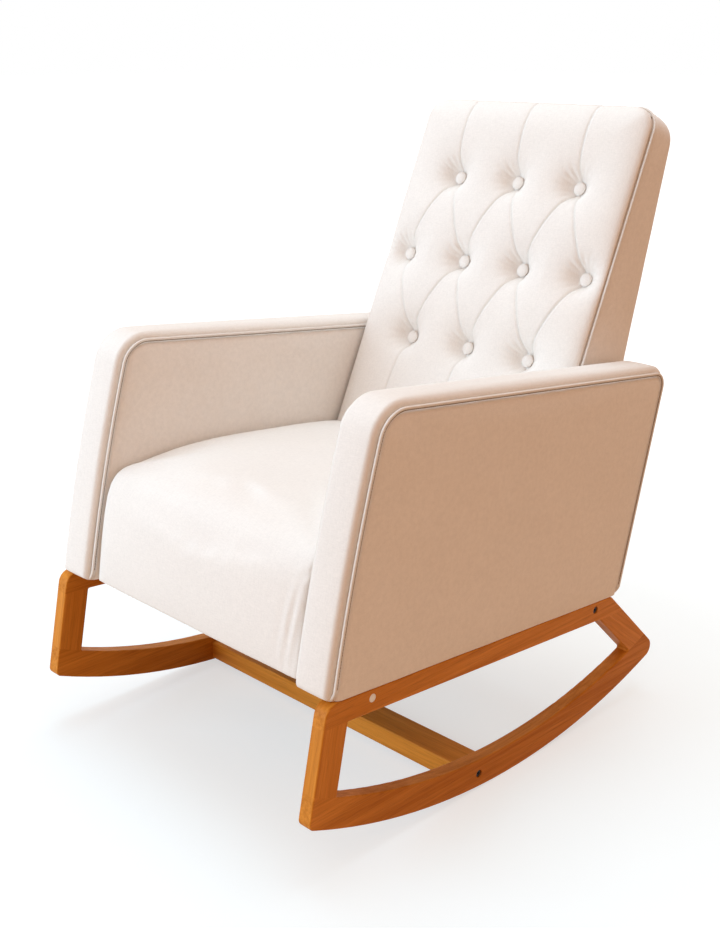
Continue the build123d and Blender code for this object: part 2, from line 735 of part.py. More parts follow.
# Tufted back cushion: a pad crowned both ways, stepped in round its face for the piping,
# and drawn in at every button and along the pleats
cushion_foot = -cushion_foot_drop
cushion_middle = (cushion_foot + back_top_y) / 2
blank_top = back_crown + back_crown_along
cushion_step = piping_set_back + welt_seat
cushion_rear = block(
    back,
    (-back_half, back_half),
    (cushion_foot, back_top_y + cut_margin),
    (-back_cushion_thick, -cushion_step),
)
face_half = back_half - welt_seat
face_top = back_top_y - welt_seat
cushion_face = closed(
    [(-face_half, cushion_foot), (face_half, cushion_foot), (face_half, face_top), (-face_half, face_top)]
)
cushion_face = round_corners(
    cushion_face, [((x, face_top), back_corner_radius - welt_seat) for x in (-face_half, face_half)]
)
cushion = cushion_rear & back_shape
cushion += extrude(back.offset(-cushion_step) * cushion_face, amount=cushion_step + blank_top)


def crowned(half, edge, crown):
    """A side view of a pad: flat behind, and in front an arc that rises from its edges."""
    behind = -2 * back_cushion_thick
    front = ThreePointArc((-half, edge), (0.0, edge + crown), (half, edge))
    return make_face(front + Polyline((half, edge), (half, behind), (-half, behind), (-half, edge)))


half_width = back_half + cut_margin
half_length = (back_top_y - cushion_foot) / 2 + cut_margin
across_start = back.from_local_coords(Vector(0, cushion_middle - half_length, 0))
along_start = back.from_local_coords(Vector(-half_width, cushion_middle, 0))
across_plane = Plane(across_start, x_dir=(1, 0, 0), z_dir=-back.y_dir)
along_plane = Plane(along_start, x_dir=back.y_dir, z_dir=back.x_dir)
crown_across = crowned(half_width, -back_edge_drop, back_crown)
crown_along = crowned(half_length, -back_end_drop, back_crown_along)
cushion &= extrude(across_plane * crown_across, amount=-2 * half_length)
cushion &= extrude(along_plane * crown_along, amount=2 * half_width)

button_places = []
for row in range(button_rows):
    count = button_row_counts[row % len(button_row_counts)]
    y = button_first_row + row * button_row_pitch
    button_places.append([((k - (count - 1) / 2) * button_pitch, y) for k in range(count)])

button_radius = button_diameter / 2
shank_radius = shank_diameter / 2
button_base = -button_sink - button_height
tuft_floor = button_base - soft_clearance
standing = (Align.CENTER, Align.CENTER, Align.MIN)
tuft_shape = Cone(button_radius + soft_clearance, tuft_mouth, tuft_rim - tuft_floor, align=standing)
tuft = Pos(0, 0, tuft_floor) * tuft_shape
shank_hole = Pos(0, 0, -back_cushion_thick) * Cylinder(
    shank_radius + soft_clearance, back_cushion_thick, align=standing
)
button = Cylinder(button_radius, button_height, align=standing)
button = Pos(0, 0, button_base) * fillet(button.edges().sort_by(Axis.Z)[-1], button_round)
button += Pos(0, 0, -back_cushion_thick) * Cylinder(
    shank_radius, back_cushion_thick + button_base, align=standing
)


def pleat(start, end):
    """A sewn fold from one button to the next: a straight notch across the crown."""
    first = back.from_local_coords(Vector(*start, 0))
    last = back.from_local_coords(Vector(*end, 0))
    notch = closed([(0, -pleat_floor), (pleat_half_width, blank_top), (-pleat_half_width, blank_top)])
    way = last - first
    side = way.cross(back.z_dir)
    return extrude(Plane(origin=first, x_dir=side, z_dir=-way) * notch, amount=-way.length)


tuft_cuts, buttons = [], []
for row in button_places:
    for x, y in row:
        place = back * Pos(x, y, 0)
        tuft_cuts += [place * tuft, place * shank_hole]
        buttons.append(place * button)
for lower, upper_row in zip(button_places, button_places[1:]):
    for start in lower:
        for end in upper_row:
            if abs(end[0] - start[0]) < button_pitch:
                tuft_cuts.append(pleat(start, end))
for x, y in button_places[0]:
    tuft_cuts.append(pleat((x, y), (x, cushion_foot - cut_margin)))
for x, y in button_places[-1]:
    tuft_cuts.append(pleat((x, y), (x, back_top_y + button_sink)))
for cut in tuft_cuts:
    cushion -= cut
nodes["back_cushion"] = cushion
nodes["back_buttons"] = Compound(children=buttons)

# The origin is on the floor, in the middle of the chair's length and width
boxes = [part.bounding_box() for part in nodes.values()]
front_y = min(box.min.Y for box in boxes)
rear_y = max(box.max.Y for box in boxes)
floor_z = min(box.min.Z for box in boxes)
to_origin = Pos(0, -(front_y + rear_y) / 2, -floor_z)
os.makedirs("parts", exist_ok=True)
for name, part in nodes.items():
    export_step(to_origin * part, "parts/" + name + ".step")
print(len(nodes), "nodes; lengthwise shift", -(front_y + rear_y) / 2, "floor", floor_z)
print("front plane leans", front_plane_lean, "crease", crease, "back length", back_top_y)
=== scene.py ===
import bpy
import bmesh
import numpy as np
from math import cos, pi, radians, sin
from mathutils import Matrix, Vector


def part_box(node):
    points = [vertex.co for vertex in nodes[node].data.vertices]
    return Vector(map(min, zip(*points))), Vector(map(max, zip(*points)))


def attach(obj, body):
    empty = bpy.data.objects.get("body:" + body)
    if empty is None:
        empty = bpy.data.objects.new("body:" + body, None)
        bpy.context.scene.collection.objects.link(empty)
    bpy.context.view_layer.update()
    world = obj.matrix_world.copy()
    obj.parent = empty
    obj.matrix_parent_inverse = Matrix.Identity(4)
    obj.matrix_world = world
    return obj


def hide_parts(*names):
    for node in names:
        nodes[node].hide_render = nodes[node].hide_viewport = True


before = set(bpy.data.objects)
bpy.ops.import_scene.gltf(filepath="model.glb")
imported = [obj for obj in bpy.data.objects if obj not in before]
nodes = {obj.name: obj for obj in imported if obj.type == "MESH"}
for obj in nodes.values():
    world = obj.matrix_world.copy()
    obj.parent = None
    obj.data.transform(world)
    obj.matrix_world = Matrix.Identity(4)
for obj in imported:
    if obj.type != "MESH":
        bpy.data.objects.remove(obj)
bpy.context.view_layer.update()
scene = bpy.context.scene
scene.view_settings.view_transform = "Standard"


# Rocker frames: two runners, each with two posts and a rail doweled up from 24 mm beech boards.
# A stretcher and two cross rails of the same wood hold the frames apart. The wood is stained
# honey brown and lacquered satin, and its grain runs along every board.
def connect(tree, value, socket):
    """Give a socket a value, or a link from another socket."""
    if isinstance(value, bpy.types.NodeSocket):
        tree.links.new(value, socket)
    else:
        socket.default_value = value


def add_node(tree, kind, **settings):
    """A node of a tree. A setting names a property, or an input that takes a value or a link."""
    node = tree.nodes.new(kind)
    for name, value in settings.items():
        socket = name.replace("_", " ")
        if socket in node.inputs:
            connect(tree, value, node.inputs[socket])
        else:
            setattr(node, name, value)
    return node


def reckon(tree, operation, *values):
    """The result of a Math node."""
    node = add_node(tree, "ShaderNodeMath", operation=operation)
    for value, socket in zip(values, node.inputs):
        connect(tree, value, socket)
    return node.outputs[0]


def ranged(tree, value, low, high, to_low=0.0, to_high=1.0):
    """A value brought from one range to another."""
    ends = {"From_Min": low, "From_Max": high, "To_Min": to_low, "To_Max": to_high}
    return add_node(tree, "ShaderNodeMapRange", Value=value, **ends).outputs["Result"]


def tint(tree, first, second, factor=1.0, mode="MIX"):
    """The colour that a Mix node makes of two colours."""
    node = add_node(tree, "ShaderNodeMix", data_type="RGBA", blend_type=mode, Factor=factor)
    connect(tree, first, node.inputs[6])
    connect(tree, second, node.inputs[7])
    return node.outputs[2]


def noise(tree, place, scale, stretch=None, **settings):
    """The strength of a noise texture, which may be stretched along some axes."""
    if stretch:
        place = add_node(tree, "ShaderNodeMapping", Vector=place, Scale=stretch).outputs["Vector"]
    return add_node(tree, "ShaderNodeTexNoise", Vector=place, Scale=scale, **settings).outputs["Fac"]


def new_group(name, inputs):
    """An empty shader group for a finish, and the sockets that it starts from."""
    group = bpy.data.node_groups.new(name, "ShaderNodeTree")
    for socket, kind in inputs.items():
        group.interface.new_socket(socket, in_out="INPUT", socket_type="NodeSocket" + kind)
    for socket, kind in (("Color", "Color"), ("Roughness", "Float"), ("Height", "Float")):
        group.interface.new_socket(socket, in_out="OUTPUT", socket_type="NodeSocket" + kind)
    return group, group.nodes.new("NodeGroupInput").outputs


def end_group(group, colour, roughness, height):
    """Close a finish: its colour, roughness and height leave the group."""
    end = group.nodes.new("NodeGroupOutput")
    for value, socket in zip((colour, roughness, height), end.inputs):
        group.links.new(value, socket)
    return group


def new_material(name, group, values, bump, bump_depth=0.0005, turn=None, **shader):
    """A Principled material whose colour, roughness and bump come from a finish and its values."""
    material = bpy.data.materials.new(name)
    material.use_nodes = True
    tree = material.node_tree
    surface = tree.nodes["Principled BSDF"]
    for socket, value in shader.items():
        surface.inputs[socket.replace("_", " ")].default_value = value
    place = tree.nodes.new("ShaderNodeTexCoord").outputs["Object"]
    if turn:
        place = add_node(tree, "ShaderNodeMapping", Vector=place, Rotation=turn).outputs["Vector"]
    finish = add_node(tree, "ShaderNodeGroup", node_tree=group)
    for socket, value in {"Vector": place, **values}.items():
        connect(tree, value, finish.inputs[socket])
    height = finish.outputs["Height"]
    relief = add_node(tree, "ShaderNodeBump", Strength=bump, Distance=bump_depth, Height=height)
    tree.links.new(finish.outputs["Color"], surface.inputs["Base Color"])
    tree.links.new(finish.outputs["Roughness"], surface.inputs["Roughness"])
    tree.links.new(relief.outputs["Normal"], surface.inputs["Normal"])
    return material


def grain_group():
    """Wood along X: broad bands, fine streaks and pores, between a dark and a light tone."""
    inputs = {"Vector": "Vector", "Dark": "Color", "Light": "Color", "Gloss": "Float"}
    group, start = new_group("wood_grain", inputs)
    streaks = (((1.2, 26, 26), 3.0), ((5, 190, 190), 4.0), ((28, 1500, 1500), 2.0))
    broad, fine, pores = [
        noise(group, start["Vector"], 1.0, stretch, Detail=detail, Distortion=0.35)
        for stretch, detail in streaks
    ]
    figure = reckon(group, "MULTIPLY_ADD", fine, 0.45, reckon(group, "MULTIPLY", broad, 0.55))
    level = ranged(group, figure, 0.36, 0.64)
    pores = ranged(group, pores, 0.30, 0.45, 0.72)
    tone = tint(group, start["Dark"], start["Light"], level)
    colour = tint(group, tone, pores, mode="MULTIPLY")
    gloss = reckon(group, "MULTIPLY_ADD", level, -0.12, start["Gloss"])
    return end_group(group, colour, gloss, pores)


wood_grain = grain_group()


def board_finish(name, along, dark, light, gloss, **shader):
    """Wood whose grain runs along a direction of the chair."""
    turn = Vector(along).rotation_difference(Vector((1, 0, 0))).to_euler()
    values = {"Dark": (*dark, 1.0), "Light": (*light, 1.0), "Gloss": gloss}
    return new_material(name, wood_grain, values, 0.12, turn=turn, **shader)


def dress(material, *names):
    """Give a finish to CAD pieces."""
    for name in names:
        nodes[name].data.materials.clear()
        nodes[name].data.materials.append(material)


stain_dark, stain_light, stain_gloss = (0.46, 0.143, 0.008), (0.70, 0.262, 0.032), 0.52
front_post_lean, rear_post_lean = radians(11.6), radians(-53.0)
board_ways = {
    "lengthwise": (0, 1, 0),
    "front_post": (0, sin(front_post_lean), cos(front_post_lean)),
    "rear_post": (0, -sin(rear_post_lean), -cos(rear_post_lean)),
    "across": (1, 0, 0),
}
stained = {
    name: board_finish(
        "stained_" + name, along, stain_dark, stain_light, stain_gloss, Specular_IOR_Level=0.12
    )
    for name, along in board_ways.items()
}
for side in ("left_", "right_"):
    dress(stained["lengthwise"], side + "runner", side + "top_rail")
    dress(stained["front_post"], side + "front_post")
    dress(stained["rear_post"], side + "rear_post")
dress(stained["across"], "stretcher", "front_cross_rail", "rear_cross_rail")


# Connector bolts, barrel nuts and caps: black steel bolts sit in round recesses on the outer faces.
# Zinc-plated barrel nuts take them inside the cross members. A white plastic cap closes each front recess.
def mottle_group():
    """A smooth finish with fine mottling: for metal, plastic and felt."""
    inputs = {"Vector": "Vector", "Base": "Color", "Grain": "Float", "Gloss": "Float", "Spread": "Float"}
    group, start = new_group("fine_mottle", inputs)
    mottle = noise(group, start["Vector"], start["Grain"], Detail=3.0)
    centred = reckon(group, "SUBTRACT", mottle, 0.5)
    shade = reckon(group, "MULTIPLY_ADD", centred, start["Spread"], 1.0)
    colour = tint(group, start["Base"], shade, mode="MULTIPLY")
    rough = reckon(group, "MULTIPLY_ADD", centred, 0.3, start["Gloss"])
    return end_group(group, colour, rough, mottle)


fine_mottle = mottle_group()


def mottled(name, base, grain, gloss, spread=0.3, **shader):
    """A mottled material: its colour, grains to the metre, roughness and spread of tone."""
    values = {"Base": (*base, 1.0), "Grain": grain, "Gloss": gloss, "Spread": spread}
    return new_material(name, fine_mottle, values, 0.1, **shader)


black_steel = mottled("black_steel", (0.030, 0.026, 0.024), 900.0, 0.42, Metallic=0.8)
zinc_steel = mottled("zinc_steel", (0.60, 0.61, 0.63), 1200.0, 0.35, Metallic=1.0)
cap_plastic = mottled("cap_plastic", (0.84, 0.82, 0.77), 1500.0, 0.42, 0.1)
dress(black_steel, "rail_bolts", "stretcher_bolts", "seat_bolts", "arm_bolts", "post_bolts")
dress(zinc_steel, "barrel_nuts", "spring_clips")
dress(cap_plastic, "bolt_caps")


# Seat frame, arm frames and back frame: planed softwood and plywood boards, bare, under the cloth.
# Zigzag springs of oiled wire cross the seat in zinc clips, with a grey felt over them.
# Black elastic webbing crosses the back frame.
timber_dark, timber_light, timber_gloss = (0.50, 0.33, 0.17), (0.74, 0.56, 0.35), 0.72
timber = {
    name: board_finish("timber_" + name, along, timber_dark, timber_light, timber_gloss)
    for name, along in {"across": (1, 0, 0), "lengthwise": (0, 1, 0), "upright": (0, 0.25, 1)}.items()
}
dress(timber["across"], "seat_front_rail", "seat_rear_rail", "seat_corner_blocks", "frame_dowels")
dress(timber["across"], "back_top_rail", "back_middle_rail", "back_bottom_rail")
for side in ("left_", "right_"):
    dress(timber["lengthwise"], side + "seat_side_rail", side + "arm_top_board", side + "arm_bottom_board")
    dress(timber["upright"], side + "arm_front_upright", side + "arm_rear_upright", side + "back_post")
dress(mottled("spring_wire", (0.24, 0.24, 0.25), 700.0, 0.34, Metallic=1.0), "seat_springs")
dress(mottled("felt", (0.30, 0.29, 0.28), 420.0, 0.95, 0.9), "spring_pad")
dress(mottled("webbing", (0.05, 0.045, 0.04), 800.0, 0.85, 0.8), "back_webbing")


# Seat cushion: foam over the springs under one cream cloth, crowned across and along. The cloth runs
# over a rolled front edge and down the front as an apron, and rolls under at both arms.
def weave_group():
    """Soft upholstery cloth: fine crossing threads, a short brushed pile and faint hand marks."""
    inputs = {"Vector": "Vector", "Base": "Color", "Thread": "Float", "Gloss": "Float"}
    group, start = new_group("upholstery_weave", inputs)
    yarns = [
        noise(group, start["Vector"], start["Thread"], stretch, Detail=1.0)
        for stretch in ((1.0, 0.16, 0.16), (0.16, 1.0, 1.0))
    ]
    threads = reckon(group, "ADD", *yarns)
    pile = noise(group, start["Vector"], 120.0, Detail=5.0, Roughness=0.65)
    marks = noise(group, start["Vector"], 11.0, Detail=3.0)
    level = ranged(group, reckon(group, "ADD", pile, marks), 0.6, 1.4, 0.972, 1.012)
    weft = ranged(group, threads, 0.6, 1.4, 0.93, 1.03)
    colour = tint(group, start["Base"], reckon(group, "MULTIPLY", level, weft), mode="MULTIPLY")
    rough = reckon(group, "MULTIPLY_ADD", pile, 0.08, start["Gloss"])
    height = reckon(group, "MULTIPLY_ADD", pile, 0.8, threads)
    return end_group(group, colour, rough, height)


upholstery_weave = weave_group()
thread_pitch = 0.0012


def cream_cloth(name, base, gloss=0.84):
    """The chair's cloth, in a tone of its own."""
    values = {"Base": (*base, 1.0), "Thread": 1.0 / thread_pitch, "Gloss": gloss}
    return new_material(name, upholstery_weave, values, 0.25, bump_depth=0.0004, Sheen_Weight=0.12)


cream_tone = (0.84, 0.795, 0.745)
cream = cream_cloth("cream_cloth", cream_tone)


def new_object(name, data):
    """An object at the chair's origin."""
    piece = bpy.data.objects.new(name, data)
    scene.collection.objects.link(piece)
    return piece


def mesh_piece(name, points, faces, material):
    """A new mesh object in the chair's frame, smooth shaded, its faces pointing outwards."""
    mesh = bpy.data.meshes.new(name)
    mesh.from_pydata([tuple(p) for p in points], [], [tuple(f) for f in faces])
    work = bmesh.new()
    work.from_mesh(mesh)
    bmesh.ops.recalc_face_normals(work, faces=work.faces[:])
    work.to_mesh(mesh)
    work.free()
    mesh.polygons.foreach_set("use_smooth", [True] * len(mesh.polygons))
    mesh.materials.append(material)
    return new_object(name, mesh)


def grid_faces(rows, columns, first=0):
    """Quads over a grid of points stored row by row."""
    corner = first + np.arange(rows - 1)[:, None] * columns + np.arange(columns - 1)[None, :]
    return np.stack([corner, corner + 1, corner + columns + 1, corner + columns], axis=-1).reshape(-1, 4)


def grid_rim(rows, columns):
    """The points round the edge of a grid, in order."""
    index = np.arange(rows * columns).reshape(rows, columns)
    return np.concatenate([index[0, :-1], index[:-1, -1], index[-1, :0:-1], index[:0:-1, 0]])


def shell(name, outer, inner):
    """A closed pad of cream cloth between two grids of points, and the points that its seams hold."""
    rows, columns = outer.shape[:2]
    count = rows * columns
    rim = grid_rim(rows, columns)
    after = np.roll(rim, -1)
    sides = np.stack([rim, after, after + count, rim + count], axis=-1)
    faces = np.concatenate([grid_faces(rows, columns), grid_faces(rows, columns, count)[:, ::-1], sides])
    points = np.concatenate([outer.reshape(-1, 3), inner.reshape(-1, 3)])
    return mesh_piece(name, points, faces.tolist(), cream), [*rim, *range(count, 2 * count)]


def coordinates(mesh):
    """The places of a mesh's points."""
    flat = np.empty(len(mesh.vertices) * 3, dtype=np.float32)
    mesh.vertices.foreach_get("co", flat)
    return flat.reshape(-1, 3).astype(float)


def plump(piece, held, pressure, most, frames=18):
    """Let the stuffing press the cover out between its seams, no further than most."""
    before = coordinates(piece.data)
    piece.vertex_groups.new(name="seams").add([int(v) for v in held], 1.0, "REPLACE")
    cloth = piece.modifiers.new("stuffing", "CLOTH")
    cloth.settings.vertex_group_mass = "seams"
    cloth.settings.quality = 6
    cloth.settings.use_pressure = True
    cloth.settings.uniform_pressure_force = pressure
    cloth.settings.effector_weights.gravity = 0.0
    cloth.settings.tension_stiffness = 25.0
    cloth.settings.compression_stiffness = 25.0
    cloth.settings.bending_stiffness = 2.0
    cloth.point_cache.frame_start, cloth.point_cache.frame_end = 1, frames
    for step in range(1, frames + 1):
        scene.frame_set(step)
    swollen = piece.evaluated_get(bpy.context.evaluated_depsgraph_get())
    moved = coordinates(swollen.data) - before
    length = np.maximum(np.linalg.norm(moved, axis=1, keepdims=True), 1e-9)
    after = before + moved / length * most * np.tanh(length / most)
    piece.modifiers.clear()
    piece.vertex_groups.clear()
    piece.data.vertices.foreach_set("co", after.astype(np.float32).ravel())
    piece.data.update()
    scene.frame_set(1)


def soften(piece):
    """One more subdivision, for a smooth surface."""
    rounding = piece.modifiers.new("rounding", "SUBSURF")
    rounding.levels = rounding.render_levels = 1


def uneven(points, most):
    """The slow unevenness of stuffing under cloth, as a height at each point."""
    waves = [((31, 17, 11), 0.3), ((-13, 37, 29), 1.9), ((47, -23, 19), 4.1)]
    waves += [((9, 61, -43), 2.6), ((71, 29, 53), 5.2)]
    total = sum(np.sin(points @ np.array(way) + turn) for way, turn in waves)
    return most * total / len(waves)


def fit_piece(piece, slot, *replaced):
    """Join a piece to the chair, in place of CAD pieces. Its slot is not used."""
    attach(piece, "root")
    if replaced:
        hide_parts(*replaced)


def fit_pad(piece, fill, *replaced):
    """Join a stuffed piece to the chair."""
    fit_piece(piece, "cream_fabric", *replaced)


def along_line(points, places):
    """Points at given shares of a line's length."""
    points = np.asarray(points, dtype=float)
    lengths = np.concatenate([[0.0], np.cumsum(np.linalg.norm(np.diff(points, axis=0), axis=1))])
    stops = np.asarray(places) * lengths[-1]
    return np.stack([np.interp(stops, lengths, column) for column in points.T], axis=-1)


def evenly(points, count):
    """A line's points spread evenly along its length."""
    return along_line(points, np.linspace(0.0, 1.0, count))


def curve_through(line, times):
    """A smooth curve through points or rows of points, with so many steps from each to the next."""
    ends = np.concatenate([2 * line[:1] - line[1:2], line, 2 * line[-1:] - line[-2:-1]])
    a, b, c, d = (p[:, None] for p in (ends[:-3], ends[1:-2], ends[2:-1], ends[3:]))
    t = (np.arange(times) / times).reshape(1, times, *[1] * (line.ndim - 1))
    curve = b + 0.5 * t * (c - a + t * (2 * a - 5 * b + 4 * c - d + t * (3 * (b - c) + d - a)))
    return np.concatenate([curve.reshape(-1, *line.shape[1:]), line[-1:]])


def smooth_line(points, count):
    """A smooth line through a few points, spread evenly."""
    return evenly(curve_through(np.asarray(points, dtype=float), 12), count)


def spaced(count, ease):
    """Places from 0 to 1, closer together at both ends."""
    t = np.linspace(0.0, 1.0, count)
    return (1 - ease) * t + ease * (0.5 - 0.5 * np.cos(pi * t))


def on_plane(foot, lean, x, along, out):
    """A place on a plane of the chair: across, along its lean from the foot and square to it."""
    y = foot[0] + along * sin(lean) - out * cos(lean)
    z = foot[1] + along * cos(lean) + out * sin(lean)
    return np.stack(np.broadcast_arrays(x, y, z), axis=-1)


deck_foot, deck_lean = (-0.45891, 0.27071), radians(90.0 + 4.32)


def on_deck(x, y, z):
    """A place on the rocker frames' sloping top line: across, along it and square to it."""
    return on_plane(deck_foot, deck_lean, x, y, z)


seat_half = 0.2440
seat_rows, seat_columns = 96, 61
seat_side_roll, seat_front_roll = 0.015, 0.008
apron_end, apron_ease, under_share = 0.070, 0.060, 0.99
seat_middle_line = [
    (0.0540, 0.000), (0.0545, 0.060), (0.0590, 0.115), (0.0680, 0.155), (0.0830, 0.181), (0.108, 0.1985),
    (0.145, 0.2090), (0.190, 0.2155), (0.240, 0.2200), (0.320, 0.2245), (0.430, 0.2235), (0.520, 0.2185),
    (0.577, 0.2110),
]
seat_side_line = [
    (0.0550, 0.000), (0.0595, 0.060), (0.0655, 0.115), (0.0730, 0.153), (0.0840, 0.176), (0.1020, 0.1895),
    (0.135, 0.1970), (0.175, 0.2030), (0.216, 0.2085), (0.300, 0.2130), (0.430, 0.2125), (0.520, 0.2105),
    (0.577, 0.2065),
]
seat_under_line = [(0.0835, 0.000), (0.0835, 0.088), (0.530, 0.088), (0.545, 0.110), (0.560, 0.150)]
seat_middle = smooth_line(seat_middle_line, seat_rows)[:, None, :]
seat_side = smooth_line(seat_side_line, seat_rows)[:, None, :]
seat_under = evenly(seat_under_line, seat_rows)[:, None, :]
seat_x = seat_half * (2 * spaced(seat_columns, 0.8) - 1)[None, :]
seat_bow = (1 - (np.abs(seat_x) / seat_half) ** 2.4)[..., None]
seat_top = seat_side + seat_bow * (seat_middle - seat_side)
seat_turn = np.clip((seat_top[..., :1] - apron_end) / apron_ease, 0.0, 1.0)
seat_roll = seat_front_roll + (seat_side_roll - seat_front_roll) * seat_turn
to_side = np.clip((seat_half - np.abs(seat_x))[..., None] / seat_roll, 0.0, 1.0)
sink = seat_roll * (1 - np.sqrt(1 - (1 - to_side) ** 2))
depth = np.linalg.norm(seat_under - seat_top, axis=-1, keepdims=True)
seat_top = seat_top + (seat_under - seat_top) / depth * np.minimum(sink, 0.7 * depth)

# Small upright wrinkles where the apron is drawn round the frame beside the right arm
wrinkle_x, wrinkle_height, wrinkle_slant = 0.220, 0.080, 0.14
wrinkle_depth, wrinkle_pitch, wrinkle_reach = 0.0026, 0.021, (0.017, 0.055)
apron_back, apron_fade = 0.105, 0.02
wrinkle_up = seat_top[..., 1] - wrinkle_height
from_wrinkle = seat_x - wrinkle_x - wrinkle_slant * wrinkle_up
fade = np.exp(-((from_wrinkle / wrinkle_reach[0]) ** 2) - (wrinkle_up / wrinkle_reach[1]) ** 2)
on_apron = np.clip((apron_back - seat_top[..., 0]) / apron_fade, 0.0, 1.0)
wander = 0.8 * np.sin(from_wrinkle * 130) + 9 * seat_top[..., 1]
wrinkle = np.sin(from_wrinkle * 2 * pi / wrinkle_pitch + wander)
seat_top[..., 0] += wrinkle_depth * on_apron * fade * wrinkle

seat_outer = on_deck(np.broadcast_to(seat_x, seat_top.shape[:2]), seat_top[..., 0], seat_top[..., 1])
seat_outer[..., 2] += uneven(seat_outer, most=0.0005) * to_side[..., 0]
seat_inner_x = np.broadcast_to(seat_x * under_share, seat_top.shape[:2])
seat_inner = on_deck(seat_inner_x, seat_under[..., 0], seat_under[..., 1])
seat_cushion, seat_held = shell("seat_upholstery", seat_outer, seat_inner)
plump(seat_cushion, seat_held, pressure=1.0, most=0.004)
soften(seat_cushion)
fit_pad(seat_cushion, 0.85, "seat_cushion")


# Arms: a board frame padded on both faces, with a cushioned band round its front, top and rear edge.
# The cloth pads are cut to the arm's outline and sewn to the band through a corded welt on each edge.
def rounded(corners, radii, steps=14):
    """A line through corners, each inner one rounded to a radius."""
    corners = [np.asarray(c, dtype=float) for c in corners]
    line = [corners[0]]
    for before, corner, after, radius in zip(corners, corners[1:], corners[2:], radii):
        come = (corner - before) / np.linalg.norm(corner - before)
        go = (after - corner) / np.linalg.norm(after - corner)
        half_turn = np.arccos(np.clip(come @ go, -1, 1)) / 2
        inward = (go - come) / np.linalg.norm(go - come)
        tangent = (come + go) / np.linalg.norm(come + go)
        centre = corner + inward * radius / cos(half_turn)
        for angle in half_turn * np.linspace(-1.0, 1.0, steps + 1):
            line.append(centre + radius * (sin(angle) * tangent - cos(angle) * inward))
    return np.array([*line, corners[-1]])


def lean_way(lean):
    """The direction in the side view of a line that leans back."""
    return np.array([sin(lean), cos(lean)])


def square(way):
    """The direction a quarter turn clockwise from another."""
    return np.array([way[1], -way[0]])


def crossing(p, d, q, e):
    """Where two lines of the side view meet."""
    t = ((q[0] - p[0]) * e[1] - (q[1] - p[1]) * e[0]) / (d[0] * e[1] - d[1] * e[0])
    return np.asarray(p) + t * np.asarray(d)


arm_x = (0.247, 0.325)
arm_foot, arm_top_height = np.array([-0.41241, 0.26720]), 0.655
rear_foot, rear_lean = np.array([0.25409, 0.21836]), radians(15.1)
front_way, rear_way = lean_way(radians(14.39)), lean_way(rear_lean)
top_way, rail_way = lean_way(radians(90.0 + 5.85)), lean_way(deck_lean)
arm_radii, least_radius = (0.046, 0.024), 0.004
arm_bow, bow_reach = 0.0065, 0.06


def arm_edge(inset, count):
    """The arm's edge in the side view, from its front foot over the top to its rear foot."""
    foot = arm_foot + inset * square(front_way)
    top = crossing(arm_foot, front_way, (0.0, arm_top_height), (1.0, 0.0)) + inset * square(top_way)
    rear = rear_foot - inset * square(rear_way)
    corners = [
        crossing(foot, front_way, arm_foot, rail_way),
        crossing(foot, front_way, top, top_way),
        crossing(rear, rear_way, top, top_way),
        crossing(rear, rear_way, arm_foot, rail_way),
    ]
    line = evenly(rounded(corners, [max(r - inset, least_radius) for r in arm_radii]), 4 * count)
    from_foot = line - corners[0]
    rise = np.clip((from_foot @ front_way) / np.linalg.norm(corners[1] - corners[0]), 0.0, 1.0)
    near = np.clip(1.0 - (from_foot @ square(front_way)) / bow_reach, 0.0, 1.0)
    bow = (arm_bow * 4 * rise * (1 - rise) * near)[:, None]
    return evenly(line - bow * square(front_way), count), corners


def patch(bottom, top, front, rear):
    """A grid of points between four edge lines."""
    u = np.linspace(0, 1, len(bottom))[None, :, None]
    v = np.linspace(0, 1, len(front))[:, None, None]
    ruled = (1 - v) * bottom[None] + v * top[None] + (1 - u) * front[:, None] + u * rear[:, None]
    low_corners = (1 - v) * ((1 - u) * bottom[0] + u * bottom[-1])
    high_corners = v * ((1 - u) * top[0] + u * top[-1])
    return ruled - low_corners - high_corners


def arm_panel(inset, columns, rows):
    """A grid over the arm's face, and how far each point is from its sewn edge."""
    edge, corners = arm_edge(inset, 400)
    first = int(np.argmin(np.linalg.norm(edge - corners[1], axis=1)))
    second = int(np.argmin(np.linalg.norm(edge - corners[2], axis=1)))
    across, up = spaced(columns, 0.75), spaced(rows, 0.75)
    bottom = corners[0] + across[:, None] * (corners[3] - corners[0])
    grid = patch(
        bottom,
        along_line(edge[first : second + 1], across),
        along_line(edge[: first + 1], up),
        along_line(edge[second:][::-1], up),
    )
    gap = np.linalg.norm(grid[:, :, None, :] - edge[None, None], axis=-1).min(axis=-1)
    return grid, gap


def rolled(distance, radius):
    """Height of a rolled edge, from 0 at the seam to 1 past its radius."""
    t = np.clip(distance / radius, 0.0, 1.0)
    return np.sqrt(1 - (1 - t) ** 2)


def at_x(x, places):
    """Places of the side view at one place across the chair, or at one for each."""
    return np.concatenate([np.broadcast_to(x, places.shape[:-1])[..., None], places], axis=-1)


def mirrored(piece, name):
    """The left-hand copy of a right-hand piece."""
    mesh = piece.data.copy()
    mesh.name = name
    flat = coordinates(mesh) * (-1, 1, 1)
    mesh.vertices.foreach_set("co", flat.astype(np.float32).ravel())
    mesh.flip_normals()
    return new_object(name, mesh)


def fit_arm_pad(pad_name, outer, inner, most):
    """Make a pad of the right arm and its left-hand copy, and join both to the chair."""
    right_pad, held = shell("right_" + pad_name + "_cloth", outer, inner)
    plump(right_pad, held, pressure=0.8, most=most)
    left_pad = mirrored(right_pad, "left_" + pad_name + "_cloth")
    for side, pad in (("right_", right_pad), ("left_", left_pad)):
        soften(pad)
        fit_pad(pad, 0.8, side + pad_name)


